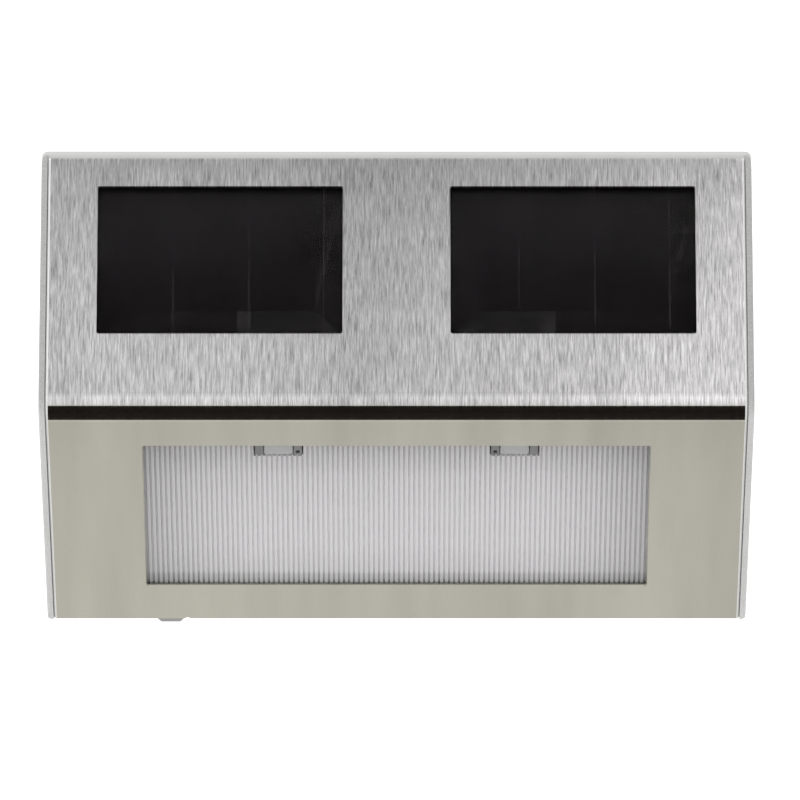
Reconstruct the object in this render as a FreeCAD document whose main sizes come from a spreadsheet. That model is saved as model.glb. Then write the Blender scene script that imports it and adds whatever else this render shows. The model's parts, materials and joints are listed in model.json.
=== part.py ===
"""Solar fence light: a folded steel face on a moulded housing, hung on two screws.

Millimetres. +X is right, the face looks along -Y, +Z is up. The origin is the centre of
the flat back, which lies on the wall at Y = 0.

Two slope frames share the theoretical fold corner of the face: in each, local x is +X,
local y runs up the slope and local z points out of the face. The upper slope carries the
solar panels, the lower slope carries the lens.
"""

import FreeCAD, Part
import os
import re
import Sketcher

Vector = FreeCAD.Vector
Rotation = FreeCAD.Rotation
Placement = FreeCAD.Placement

SIZES = [
    # whole body
    ("housing_width", 140.0, "across the two cheeks"),
    ("body_height", 94.8, "top wall to bottom wall"),
    ("top_depth", 2.8, "wall to the face's top edge"),
    ("fold_depth", 40.2, "wall to the fold's sharp corner"),
    ("bottom_depth", 20.2, "wall to the face's bottom edge"),
    ("fold_drop", 36.2, "top of the body down to the fold"),
    # moulded housing
    ("wall", 1.8, "front wall behind the steel"),
    ("side_wall", 2.4, "cheeks, inside to outside"),
    ("bottom_wall", 2.0, "bottom wall"),
    ("cheek", 1.2, "strip of cheek in front, beside the steel"),
    ("top_round", 1.2, "rounding of the top corners"),
    ("foot_round", 0.8, "rounding of the bottom corners"),
    ("cheek_ease", 0.3, "easing of the cheeks' front edges"),
    ("inner_round", 2.0, "rounding inside the fold"),
    ("rim", 1.4, "rim round the rear cover"),
    ("ledge_land", 0.4, "front wall left above the rear ledge"),
    # steel face
    ("sheet_thickness", 0.6, "stainless sheet"),
    ("bend_radius", 5.0, "outside of the fold"),
    ("sheet_side_gap", 0.2, "steel to cheek"),
    ("edge_ease", 0.4, "eased outer edge of the steel"),
    ("window_ease", 0.2, "eased edge of the windows"),
    ("window_corner", 0.4, "corner radius of the windows"),
    ("tape_border", 1.0, "tape inside the steel's and windows' edges"),
    ("tape_head", 1.5, "tape below the steel's top edge"),
    ("tape_foot", 3.0, "tape above the steel's bottom edge"),
    ("tape_thickness", 0.3, "tape under the steel"),
    ("notch_radius", 0.7, "drain notch in the bottom edge"),
    ("notch_offset", 3.5, "notch from the middle of the knob"),
    # solar panels
    ("solar_side", 9.8, "steel beside the solar windows"),
    ("solar_bridge", 21.2, "steel between them"),
    ("solar_foot", 15.7, "fold to the windows' lower edges"),
    ("solar_head", 6.149976, "steel above the windows"),
    ("glass_margin", 1.1, "glass beyond its window"),
    ("glass_thickness", 1.6, "panel glass"),
    ("cell_thickness", 0.2, "cell film"),
    ("cell_margin", 0.4, "bare glass round the film"),
    ("pad_thickness", 0.5, "foam pad"),
    ("pad_margin", 2.0, "pad inside the glass's edge"),
    ("panel_gap", 0.2, "glass to its recess"),
    ("seat_wall", 1.2, "walls and floor of the recess"),
    ("wire_hole", 3.0, "wire hole in the recess's floor"),
    # lens and reflector
    ("lens_side", 18.8, "steel beside the lens window"),
    ("lens_sill", 10.318979, "steel below the lens window"),
    ("lens_drop", 10.8, "fold to the window's top edge"),
    ("lens_setback", 0.3, "ribs behind the steel"),
    ("lens_step", 1.2, "ribbed block beyond the window"),
    ("lens_gap", 0.2, "ribbed block to the housing"),
    ("lens_flange", 2.2, "flange beyond the block"),
    ("flange_thickness", 1.2, "lens flange"),
    ("rib_pitch", 1.0, "rib to rib"),
    ("rib_depth", 0.45, "depth of a groove"),
    ("groove_mouth", 0.42, "groove at the crowns"),
    ("groove_root", 0.2, "groove at its floor"),
    ("gasket_thickness", 0.5, "foam strip behind the lens"),
    ("gasket_foot", 1.2, "strip's inner edge above the window's foot"),
    ("reflector_wall", 1.0, "white tray"),
    ("tray_depth", 4.0, "inside depth of the tray"),
    ("tray_draft", 6.0, "draft of the tray, degrees"),
    ("tray_margin", 0.6, "tray's mouth beyond the window"),
    # light sources
    ("led_pitch", 46.4, "between the two lamps"),
    ("led_width", 5.6, "clear block across"),
    ("led_depth", 2.4, "clear block into the body"),
    ("led_length", 8.4, "clear block up the slope"),
    ("led_round", 0.6, "rounded lower corners"),
    ("led_collar", 0.8, "collar's height"),
    ("led_collar_step", 0.2, "collar beyond the block, all round"),
    ("led_show", 3.4, "block below the window's top edge"),
    ("led_setback", 0.3, "clip and collar behind the steel"),
    ("led_leg", 0.5, "square leg wire"),
    ("led_leg_pitch", 2.54, "between the two legs"),
    ("led_leg_rise", 0.8, "legs above the base before they turn"),
    ("led_leg_tail", 0.8, "legs past the board"),
    ("holder_width", 9.2, "clip across"),
    ("holder_height", 3.4, "clip up the slope"),
    ("holder_depth", 5.0, "clip into the body"),
    ("holder_gap", 0.1, "clip to the clear block"),
    ("ear_width", 1.6, "clip's ears beside the block"),
    ("ear_depth", 2.6, "ears into the body"),
    ("ear_hole", 0.45, "hole in the inner ear"),
    ("notch_gap", 0.3, "clip to lens, tray and housing"),
    ("strip_length", 60.0, "lamp board across"),
    ("strip_height", 11.4, "lamp board up the slope"),
    ("board_thickness", 1.2, "circuit boards"),
    ("strip_overlap", 3.4, "lamp board over the tray's back"),
    # clamp screws
    ("clamp_inset", 7.9, "clamp screws inside the lens window's ends"),
    ("clamp_boss", 2.4, "boss radius"),
    ("clamp_pilot", 1.05, "pilot radius"),
    ("clamp_head", 3.2, "head radius"),
    ("clamp_head_height", 1.4, "head height"),
    ("clamp_shank", 0.95, "shank radius"),
    ("clamp_length", 4.2, "shank length"),
    # rear cover
    ("cover_thickness", 2.0, "rear cover"),
    ("seal_thickness", 0.8, "foam ring under it"),
    ("seal_width", 0.8, "foam ring across"),
    ("cover_gap", 0.2, "rear cover to the rim"),
    ("boss_inset", 3.3, "rear screws to the cheeks' inside"),
    ("boss_drop", 11.4, "upper rear screws below the top"),
    ("boss_rise", 9.4, "lower rear screws above the bottom"),
    ("boss_radius", 2.8, "screw boss"),
    ("boss_sunk", 0.6, "bosses run this far into the front wall"),
    ("boss_pilot", 1.05, "pilot radius"),
    ("boss_pilot_depth", 6.5, "pilot depth"),
    ("screw_shank", 0.95, "rear screw shank radius"),
    ("screw_length", 7.0, "rear screw, head included"),
    ("screw_head", 2.2, "countersunk head radius"),
    ("screw_head_height", 1.2, "countersunk head height"),
    ("screw_hole", 1.2, "clearance hole radius"),
    # keyholes
    ("keyhole_pitch", 80.0, "between the two keyholes"),
    ("keyhole_drop", 25.4, "entry holes below the top"),
    ("keyhole_head", 4.0, "entry hole radius"),
    ("keyhole_slot", 2.1, "half the slot's width"),
    ("keyhole_rise", 7.0, "slot's length above the entry"),
    ("keyhole_room", 5.0, "room for the screw's head"),
    ("keyhole_wall", 1.0, "pocket's wall"),
    # cell, its tub and door
    ("cell_z", -4.0, "axis of the cell"),
    ("cell_radius", 5.1, "steel can"),
    ("sleeve_thickness", 0.15, "plain wrap"),
    ("cell_length", 43.5, "can without its button"),
    ("button_radius", 1.9, "positive button"),
    ("button_height", 1.0, "positive button"),
    ("leaf_room", 5.1, "tub's length kept for the sprung leaf"),
    ("tub_gap", 0.45, "tub to the wrap, all round"),
    ("tub_wall", 1.4, "walls of the tub"),
    ("contact_thickness", 0.4, "contact plates"),
    ("contact_width", 8.0, "contact plates"),
    ("door_thickness", 1.8, "battery door"),
    ("door_inset", 0.2, "door behind the wall face"),
    ("door_gap", 0.3, "door to its recess"),
    ("door_border", 1.0, "door beyond the tub's inside"),
    ("door_tongue", 12.0, "door past the tub, to its screw"),
    ("door_screw_inset", 5.5, "screw from the door's end"),
    ("door_screw_shank", 1.0, "shank radius"),
    ("door_screw_length", 7.0, "screw, head included"),
    ("door_screw_play", 0.3, "shank to the pilot's wall"),
    ("door_boss", 2.6, "boss radius"),
    ("grip_inset", 3.0, "first grip groove from the door's end"),
    ("grip_pitch", 2.0, "between the grip grooves"),
    ("door_grip", 0.6, "depth of the finger grooves"),
    # driver board
    ("driver_side", 2.6, "board to the cheek's inside"),
    ("driver_z", -1.0, "middle of the board"),
    ("driver_width", 24.0, "board across"),
    ("driver_height", 18.0, "board upwards"),
    ("post_height", 7.0, "posts on the rear cover"),
    ("post_radius", 2.2, "post"),
    ("post_inset", 3.0, "posts from the board's edges"),
    ("board_screw_head", 1.0, "head's height"),
    ("board_screw_length", 4.0, "head and thread behind the board"),
    ("chip_length", 5.0, "driver chip"),
    ("chip_width", 4.0, "driver chip"),
    ("chip_height", 1.6, "driver chip"),
    ("coil_radius", 2.4, "boost coil"),
    ("coil_height", 4.5, "boost coil"),
    ("can_radius", 2.0, "capacitor"),
    ("can_height", 5.5, "capacitor"),
    ("part_side", 6.5, "coil and capacitor beside the chip's middle"),
    ("part_rise", 4.5, "coil above and capacitor below it"),
    ("post_pilot", 0.85, "pilot radius"),
    # slide switch
    ("knob_inset", 22.2, "knob when off, from the left cheek's inside"),
    ("knob_width", 5.4, "knob across"),
    ("knob_depth", 3.0, "knob front to back"),
    ("knob_back", 4.9, "knob's middle behind the face's bottom edge"),
    ("knob_show", 2.35, "knob below the bottom wall"),
    ("knob_chamfer", 0.8, "knob's bottom ends"),
    ("knob_travel", 2.0, "off to on"),
    ("slot_gap", 0.3, "knob to its slot"),
    ("shell_width", 11.6, "switch shell across"),
    ("shell_depth", 5.0, "switch shell front to back"),
    ("shell_height", 4.6, "switch shell upwards"),
    ("shell_wall", 0.4, "switch shell's steel"),
    ("shell_ear", 3.2, "ears at both ends"),
    ("peg_half", 0.7, "half the square pegs that hold the ears"),
    ("peg_gap", 0.1, "peg to its hole"),
    ("lever_width", 2.0, "lever across"),
    ("lever_sunk", 0.4, "lever's end above the bottom edge and into its foot"),
    ("foot_length", 4.0, "lever's foot along the slot"),
    ("foot_width", 3.4, "lever's foot across it"),
    ("foot_height", 1.4, "lever's foot"),
    ("lever_depth", 1.8, "lever front to back"),
    ("base_height", 1.4, "switch's base"),
    ("pin_half", 0.3, "half the square switch pins"),
    ("pin_length", 2.6, "switch pins above the base"),
]

DERIVED = [
    ("half_width", "housing_width / 2"),
    ("top_z", "body_height / 2"),
    ("bottom_z", "-body_height / 2"),
    ("fold_z", "top_z - fold_drop"),
    ("upper_tilt", "atan2(fold_drop; fold_depth - top_depth)"),
    ("lower_tilt", "atan2(body_height - fold_drop; bottom_depth - fold_depth)"),
    ("upper_length", "sqrt((fold_depth - top_depth)^2 + fold_drop^2)"),
    ("lower_length", "sqrt((fold_depth - bottom_depth)^2 + (body_height - fold_drop)^2)"),
    ("seat", "sheet_thickness + tape_thickness"),
    ("inner", "seat + wall"),
    ("sheet_half", "half_width - cheek - sheet_side_gap"),
    ("cavity_half", "half_width - side_wall"),
    ("ledge", "cover_thickness + seal_thickness"),
    ("cavity_reach", "(fold_depth - ledge - ledge_land - inner * sin(upper_tilt)) / cos(upper_tilt)"),
    ("cavity_top", "fold_z + cavity_reach * sin(upper_tilt) - inner * cos(upper_tilt)"),
    ("cavity_floor", "bottom_z + bottom_wall"),
    ("cover_half", "half_width - rim - cover_gap"),
    ("cover_top", "cavity_top + side_wall - rim - cover_gap"),
    ("cover_foot", "cavity_floor - side_wall + rim + cover_gap"),
    ("solar_width", "sheet_half - solar_side - solar_bridge / 2"),
    ("solar_height", "upper_length - solar_foot - solar_head"),
    ("solar_x", "(solar_bridge + solar_width) / 2"),
    ("solar_rise", "solar_foot + solar_height / 2"),
    ("glass_half_x", "solar_width / 2 + glass_margin"),
    ("glass_half_y", "solar_height / 2 + glass_margin"),
    ("recess_floor", "seat + glass_thickness + cell_thickness + pad_thickness"),
    ("lens_width", "2 * (sheet_half - lens_side)"),
    ("lens_height", "lower_length - lens_drop - lens_sill"),
    ("lens_top", "-lens_drop"),
    ("lens_foot", "-lens_drop - lens_height"),
    ("lens_front", "-sheet_thickness - lens_setback"),
    ("block_half", "lens_width / 2 + lens_step"),
    ("flange_half", "block_half + lens_flange"),
    ("flange_top", "lens_top + lens_step + lens_flange"),
    ("flange_foot", "lens_foot - lens_step - lens_flange"),
    ("lens_back", "-inner - flange_thickness"),
    ("tray_front", "lens_back - gasket_thickness"),
    ("tray_half", "lens_width / 2 + tray_margin"),
    ("tray_top", "lens_top - reflector_wall"),
    ("tray_foot", "lens_foot + gasket_foot - 0.2"),
    ("tray_back", "tray_front - tray_depth - reflector_wall"),
    ("led_x", "led_pitch / 2"),
    ("lamp_front", "-sheet_thickness - led_setback"),
    ("led_z", "lamp_front - led_collar_step - led_depth / 2"),
    ("led_tip", "lens_top - led_show"),
    ("led_base", "led_tip + led_length"),
    ("ear_tip", "led_tip + 0.1"),
    ("notch_half", "holder_width / 2 + notch_gap"),
    ("holder_foot", "led_base - led_collar - holder_height - 0.1"),
    ("strip_foot", "tray_top + reflector_wall - strip_overlap"),
    ("clamp_x", "flange_half + clamp_boss + 0.2"),
    ("clamp_y", "(flange_top + flange_foot) / 2"),
    ("clamp_pitch", "lens_height - 2 * clamp_inset"),
    ("boss_x", "cavity_half - boss_inset"),
    ("boss_top", "top_z - boss_drop"),
    ("boss_foot", "-bottom_z - boss_rise"),
    ("keyhole_z", "top_z - keyhole_drop"),
    ("keyhole_x", "keyhole_pitch / 2"),
    ("tub_half", "cell_radius + sleeve_thickness + tub_gap"),
    ("tub_length", "cell_length + button_height + contact_thickness + leaf_room"),
    ("cell_y", "-door_inset - door_thickness - tub_gap - cell_radius - sleeve_thickness"),
    ("tub_floor", "cell_y - tub_half"),
    ("recess_depth", "door_inset + door_thickness + door_gap"),
    ("door_left", "-tub_length / 2 - door_border"),
    ("door_right", "tub_length / 2 + door_tongue"),
    ("door_half", "tub_half + door_border"),
    ("door_screw_x", "door_right - door_screw_inset"),
    ("board_y", "-cover_thickness - post_height"),
    ("driver_x", "cavity_half - driver_side - driver_width / 2"),
    ("knob_x", "knob_inset - cavity_half"),
    ("knob_y", "knob_back - bottom_depth"),
    ("switch_x", "knob_x + knob_travel / 2"),
    ("slot_half", "(knob_width + knob_travel) / 2 + slot_gap"),
    ("shell_top", "cavity_floor + shell_height"),
]

document = FreeCAD.newDocument("FenceLight")
sheet = document.addObject("Spreadsheet::Sheet", "Dims")
derived = document.addObject("App::VarSet", "Derived")
nodes = []


def full(expression):
    """An expression with each size's name led by the object that holds it."""
    return re.sub(r"[a-z_]+", lambda found: OWNER.get(found[0], "") + found[0], str(expression))


def value(expression):
    result = sheet.evalExpression(full(expression))
    return float(getattr(result, "Value", result))


OWNER = {name: "Dims." for name, _, _ in SIZES}
for row, (name, number, note) in enumerate(SIZES, 1):
    sheet.set(f"A{row}", name)
    sheet.set(f"B{row}", str(number))
    sheet.setAlias(f"B{row}", name)
    sheet.set(f"C{row}", note)
document.recompute()
for name, rule in DERIVED:
    kind = "App::PropertyAngle" if name.endswith("_tilt") else "App::PropertyFloat"
    derived.addProperty(kind, name)
    derived.setExpression(name, full(rule))
    OWNER[name] = "Derived."
    document.recompute()


# ---------------------------------------------------------------- frames and placing

FLAT = None
UPPER = "upper_tilt"
LOWER = "lower_tilt"


def frame_point(frame, y, z):
    """Row-frame y and z of a point given in a slope frame."""
    if frame is FLAT:
        return y, z
    return (
        f"-fold_depth + ({y}) * cos({frame}) - ({z}) * sin({frame})",
        f"fold_z + ({y}) * sin({frame}) + ({z}) * cos({frame})",
    )


def fold_point(inward):
    """Corner of the folded profile, moved inward from both slopes alike."""
    share = f"({inward}) / (1 + cos(lower_tilt - upper_tilt))"
    return (
        f"-fold_depth + {share} * (sin(upper_tilt) + sin(lower_tilt))",
        f"fold_z - {share} * (cos(upper_tilt) + cos(lower_tilt))",
    )


def upper_point(along, inward):
    return frame_point(UPPER, along, f"-({inward})")


def lower_point(along, inward):
    return frame_point(LOWER, along, f"-({inward})")


def place(item, frame=FLAT, x="0", y="0", z="0", turn="0", axis=Vector(1, 0, 0)):
    """Binds an object's placement: turned about an axis, then set in a frame."""
    tilt = f"({turn}) * 1 deg" if frame is FLAT else f"{frame} + ({turn}) * 1 deg"
    row_y, row_z = frame_point(frame, y, z)
    item.Placement = Placement(Vector(), Rotation(axis, 10))
    item.setExpression("Placement.Base.x", full(x))
    item.setExpression("Placement.Base.y", full(row_y))
    item.setExpression("Placement.Base.z", full(row_z))
    item.setExpression("Placement.Rotation.Angle", full(tilt))
    return item


def keep(item, label):
    """Marks an object as one of the light's pieces."""
    item.Label = label
    nodes.append(item)
    return item


# ---------------------------------------------------------------- primitives


def block(name, frame, x_span, y_span, z_span):
    item = document.addObject("Part::Box", name)
    for size, (low, high) in zip(("Length", "Width", "Height"), (x_span, y_span, z_span)):
        item.setExpression(size, full(f"({high}) - ({low})"))
    return place(item, frame, x_span[0], y_span[0], z_span[0])


def rod(name, radius, length, frame=FLAT, x="0", y="0", z="0", turn="0", axis=Vector(1, 0, 0)):
    """A cylinder that starts at the point and runs along local z, turned about an axis."""
    item = document.addObject("Part::Cylinder", name)
    item.setExpression("Radius", full(radius))
    item.setExpression("Height", full(length))
    return place(item, frame, x, y, z, turn, axis)


def bar(name, radius, length, frame, x, y, z, turn):
    """A twelve-sided bar for the small screws, placed as a rod is."""
    item = document.addObject("Part::Prism", name)
    item.Polygon = 12
    item.setExpression("Circumradius", full(radius))
    item.setExpression("Height", full(length))
    return place(item, frame, x, y, z, turn)


def screw(name, head, shank, frame, x, y, z, turn):
    """A screw that starts at its head's outer face; head and shank are (radius, length)."""
    top = bar(f"{name}_head", *head, frame, x, y, z, turn)
    thread = bar(f"{name}_shank", *shank, frame, x, y, z, turn)
    return fuse(name, top, thread)


def fuse(name, *parts):
    item = document.addObject("Part::MultiFuse", name)
    item.Shapes = list(parts)
    item.Refine = True
    return item


def cut(name, base, tool):
    item = document.addObject("Part::Cut", name)
    item.Base = base
    item.Tool = tool
    return item


def group(label, parts):
    """Separate solids that share one piece's name."""
    item = document.addObject("Part::Compound", label)
    item.Links = list(parts)
    return keep(item, label)


# ---------------------------------------------------------------- bodies and sketches


def new_body(label, frame=FLAT, x="0", y="0", z="0"):
    body = document.addObject("PartDesign::Body", label)
    body.AllowCompound = True
    place(body, frame, x, y, z)
    return keep(body, label)


def sketch(body, plane, name, lift="0", frame=FLAT):
    """A sketch on one of the body's own planes, lifted along its normal or tilted to a slope."""
    item = body.newObject("Sketcher::SketchObject", name)
    origin = next(f for f in body.Origin.OriginFeatures if f.Role == plane)
    item.AttachmentSupport = [(origin, "")]
    item.MapMode = "FlatFace"
    if frame is FLAT:
        item.setExpression("AttachmentOffset.Base.z", full(lift))
        return item
    row_y, row_z = frame_point(frame, "0", lift)
    item.AttachmentOffset = Placement(Vector(), Rotation(Vector(1, 0, 0), 10))
    item.setExpression("AttachmentOffset.Base.y", full(row_y))
    item.setExpression("AttachmentOffset.Base.z", full(row_z))
    item.setExpression("AttachmentOffset.Rotation.Angle", full(frame))
    return item


def fix(item, kind, *rest):
    """Adds a constraint whose last argument is an expression, bound to the sheet."""
    *places, rule = rest
    index = item.addConstraint(Sketcher.Constraint(kind, *places, value(rule)))
    item.setExpression(f"Constraints[{index}]", full(rule))


def polygon(item, points):
    """A closed outline whose corners are pairs of expressions."""
    corners = [Vector(value(x), value(y), 0) for x, y in points]
    first = item.GeometryCount
    count = len(points)
    for n in range(count):
        item.addGeometry(Part.LineSegment(corners[n], corners[(n + 1) % count]))
    for n in range(count):
        item.addConstraint(Sketcher.Constraint("Coincident", first + n, 2, first + (n + 1) % count, 1))
    for n, (x, y) in enumerate(points):
        fix(item, "DistanceX", first + n, 1, x)
        fix(item, "DistanceY", first + n, 1, y)
    return item


def rectangle(item, x_span, y_span):
    (left, right), (low, high) = x_span, y_span
    return polygon(item, [(left, low), (right, low), (right, high), (left, high)])


def rounded_rectangle(item, x_span, y_span, radius):
    """A rectangle with quarter-round corners: four lines and four arcs."""
    (left, right), (low, high) = x_span, y_span
    inset = f"({radius})"
    corners = [
        (f"{right} - {inset}", low, right, f"{low} + {inset}", -90),
        (right, f"{high} - {inset}", f"{right} - {inset}", high, 0),
        (f"{left} + {inset}", high, left, f"{high} - {inset}", 90),
        (left, f"{low} + {inset}", f"{left} + {inset}", low, 180),
    ]
    first = item.GeometryCount
    size = value(radius)
    for n, (x_in, y_in, x_out, y_out, start) in enumerate(corners):
        begin = Vector(value(x_in), value(y_in), 0)
        end = Vector(value(x_out), value(y_out), 0)
        spin = Rotation(Vector(0, 0, 1), start)
        centre = begin - spin.multVec(Vector(size, 0, 0))
        middle = centre + spin.multVec(Vector(size * 0.5**0.5, size * 0.5**0.5, 0))
        item.addGeometry(Part.Arc(begin, middle, end))
        following = corners[(n + 1) % 4]
        item.addGeometry(Part.LineSegment(end, Vector(value(following[0]), value(following[1]), 0)))
    for n, (x_in, y_in, x_out, y_out, _) in enumerate(corners):
        arc, line = first + 2 * n, first + 2 * n + 1
        after = first + (2 * n + 2) % 8
        item.addConstraint(Sketcher.Constraint("Coincident", arc, 2, line, 1))
        item.addConstraint(Sketcher.Constraint("Coincident", line, 2, after, 1))
        fix(item, "DistanceX", arc, 1, x_in)
        fix(item, "DistanceY", arc, 1, y_in)
        fix(item, "DistanceX", line, 1, x_out)
        fix(item, "DistanceY", line, 1, y_out)
        fix(item, "Radius", arc, radius)
    return item


def circle(item, x, y, radius):
    index = item.addGeometry(Part.Circle(Vector(value(x), value(y), 0), Vector(0, 0, 1), value(radius)))
    fix(item, "DistanceX", index, 3, x)
    fix(item, "DistanceY", index, 3, y)
    fix(item, "Radius", index, radius)
    return item


def grow(body, profile, length, both=False, backward=False, draft=None):
    """A pad from a sketch, along its normal or against it if backward."""
    item = body.newObject("PartDesign::Pad", profile.Name + "_pad")
    return extrude(body, item, profile, length, both, backward, draft, more=True)


def carve(body, profile, length, both=False, backward=False, draft=None):
    """A pocket from a sketch: against the sketch's normal, or along it if backward."""
    item = body.newObject("PartDesign::Pocket", profile.Name + "_pocket")
    return extrude(body, item, profile, length, both, backward, draft, more=False)


def extrude(body, item, profile, length, both, backward, draft, more):
    before = item.BaseFeature.Shape.Volume if item.BaseFeature else 0
    item.Profile = profile
    item.setExpression("Length", full(length))
    if both:
        item.SideType = "Symmetric"
    item.Reversed = backward
    if draft is not None:
        item.setExpression("TaperAngle", full(draft))
    document.recompute()
    body.Tip = item
    change = item.Shape.Volume - before
    if (change if more else -change) < 1e-6:
        raise RuntimeError(f"{item.Name} changes nothing: {change}")
    return item


def soften(body, kind, name, size, test):
    """A fillet or chamfer on the edges of the body's last feature that pass a test."""
    base = body.Tip
    names = [f"Edge{n}" for n, edge in enumerate(base.Shape.Edges, 1) if test(edge)]
    item = body.newObject(f"PartDesign::{kind}", name)
    item.Base = (base, names)
    item.setExpression("Radius" if kind == "Fillet" else "Size", full(size))
    document.recompute()
    body.Tip = item
    return item


def middle(edge):
    return edge.valueAt((edge.FirstParameter + edge.LastParameter) / 2)


def near(first, second, slack=1e-4):
    return abs(first - second) < slack


def is_line(edge):
    return edge.Curve.TypeId in ("Part::GeomLine", "Part::GeomLineSegment")


def runs_along(edge, axis):
    return is_line(edge) and abs(edge.tangentAt(edge.FirstParameter).dot(axis)) > 0.999


def depth_in(point, frame):
    """How far a point lies behind a slope's outer plane."""
    tilt = Rotation(Vector(1, 0, 0), value(frame))
    corner = Vector(0, -value("fold_depth"), value("fold_z"))
    return -(point - corner).dot(tilt.multVec(Vector(0, 0, 1)))


def on_face(edge, inward):
    """True for an edge that lies in the folded surface at the given depth."""
    if edge.Curve.TypeId == "Part::GeomCircle" and near(abs(edge.Curve.Axis.x), 1):
        return near(edge.Curve.Radius, value("bend_radius") - inward)
    return near(min(depth_in(middle(edge), frame) for frame in (UPPER, LOWER)), inward)


# ---------------------------------------------------------------- housing


def folded_band(item, front, back, spare):
    """The folded strip between two depths, with spare length past both ends."""
    top = f"upper_length + {spare}"
    foot = f"-lower_length - {spare}"
    return polygon(item, [
        upper_point(top, front), fold_point(front), lower_point(foot, front),
        lower_point(foot, back), fold_point(back), upper_point(top, back),
    ])


def housing():
    body = new_body("housing")
    outline = sketch(body, "YZ_Plane", "side_outline")
    polygon(outline, [
        ("0", "bottom_z"), ("-bottom_depth", "bottom_z"), ("-fold_depth", "fold_z"),
        ("-top_depth", "top_z"), ("0", "top_z"),
    ])
    grow(body, outline, "housing_width", both=True)
    soften(body, "Fillet", "fold_round", "bend_radius", is_fold_edge(0))
    soften(body, "Fillet", "top_corners", "top_round", is_corner("top_z"))
    soften(body, "Fillet", "foot_corners", "foot_round", is_corner("bottom_z"))
    soften(body, "Chamfer", "cheek_edges", "cheek_ease", is_cheek_edge)
    housing_cavity(body)
    housing_bosses(body)
    housing_clamp_bosses(body)
    housing_front(body)
    housing_solar_seats(body)
    housing_lens_opening(body)
    housing_switch_slot(body)
    return body


def is_fold_edge(inward):
    y, z = (value(rule) for rule in fold_point(inward))
    return lambda edge: near(middle(edge).y, y) and near(middle(edge).z, z)


def is_corner(level):
    half, z = value("half_width"), value(level)
    return lambda edge: (
        runs_along(edge, Vector(0, 1, 0)) and near(abs(middle(edge).x), half) and near(middle(edge).z, z)
    )


def is_cheek_edge(edge):
    return near(abs(middle(edge).x), value("half_width")) and on_face(edge, 0)


def housing_front(body):
    """The steel and its tape lie in a shallow step between the cheeks."""
    step = folded_band(sketch(body, "YZ_Plane", "front_step"), "-4", "seat", "4")
    carve(body, step, "2 * (half_width - cheek)", both=True)
    soften(body, "Fillet", "front_fold_round", "bend_radius - seat", is_fold_edge(value("seat")))


def housing_cavity(body):
    """Hollowed from the back, with a ledge for the rear cover and its seal."""
    foot = "(cavity_floor - fold_z + inner * cos(lower_tilt)) / sin(lower_tilt)"
    hollow = polygon(sketch(body, "YZ_Plane", "cavity"), [
        ("1", "cavity_floor"), lower_point(foot, "inner"), fold_point("inner"),
        upper_point("cavity_reach", "inner"), ("1", "cavity_top"),
    ])
    carve(body, hollow, "2 * cavity_half", both=True)
    soften(body, "Fillet", "inner_fold_round", "inner_round", is_fold_edge(value("inner")))
    ledge = sketch(body, "XZ_Plane", "ledge")
    half = "(cover_half + cover_gap)"
    rectangle(ledge, (f"-{half}", half), ("cover_foot - cover_gap", "cover_top + cover_gap"))
    carve(body, ledge, "ledge", backward=True)


def housing_bosses(body):
    """Four bosses take the rear screws; the front step later trims them to the wall."""
    upper_reach = "top_depth + (top_z - boss_top + boss_radius) / tan(upper_tilt) - inner / sin(upper_tilt)"
    lower_rise = "(fold_z + boss_foot - boss_radius)"
    lower_reach = f"fold_depth + {lower_rise} / tan(lower_tilt) - inner / sin(lower_tilt)"
    pilots = sketch(body, "XZ_Plane", "rear_pilots", lift="cover_thickness")
    for name, z, reach in (("upper", "boss_top", upper_reach), ("lower", "-boss_foot", lower_reach)):
        bosses = sketch(body, "XZ_Plane", f"{name}_bosses", lift="cover_thickness")
        for x in ("-boss_x", "boss_x"):
            circle(bosses, x, z, "boss_radius")
            circle(pilots, x, z, "boss_pilot")
        grow(body, bosses, f"{reach} + boss_sunk - cover_thickness")
    carve(body, pilots, "boss_pilot_depth", backward=True)


def housing_clamp_bosses(body):
    """Low bosses behind the front wall, level with the tray's flange."""
    stack = "flange_thickness + gasket_thickness + reflector_wall"
    clamps = sketch(body, "XY_Plane", "clamp_bosses", lift="boss_sunk - inner", frame=LOWER)
    holes = sketch(body, "XY_Plane", "clamp_pilots", lift=f"-inner - ({stack})", frame=LOWER)
    for x in ("-clamp_x", "clamp_x"):
        for y in ("clamp_y - clamp_pitch / 2", "clamp_y + clamp_pitch / 2"):
            circle(clamps, x, y, "clamp_boss")
            circle(holes, x, y, "clamp_pilot")
    grow(body, clamps, f"{stack} + boss_sunk", backward=True)
    carve(body, holes, f"{stack} + boss_sunk", backward=True)


def housing_solar_seats(body):
    """A recess with its own floor holds each solar panel behind its window."""
    seats = sketch(body, "XY_Plane", "solar_seats", lift="-recess_floor - seat_wall", frame=UPPER)
    recesses = sketch(body, "XY_Plane", "solar_recesses", frame=UPPER)
    holes = sketch(body, "XY_Plane", "solar_wire_holes", frame=UPPER)
    across = "(glass_half_x + panel_gap)"
    along = "(glass_half_y + panel_gap)"
    for x in ("-solar_x", "solar_x"):
        rectangle(
            seats,
            (f"{x} - {across} - seat_wall", f"{x} + {across} + seat_wall"),
            (f"solar_rise - {along} - seat_wall", f"solar_rise + {along} + seat_wall"),
        )
        rectangle(
            recesses,
            (f"{x} - {across}", f"{x} + {across}"),
            (f"solar_rise - {along}", f"solar_rise + {along}"),
        )
        circle(holes, x, "solar_rise", "wire_hole / 2")
    grow(body, seats, "recess_floor + seat_wall - seat - wall / 2")
    carve(body, recesses, "recess_floor")
    carve(body, holes, "recess_floor + 2 * seat_wall")


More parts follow.
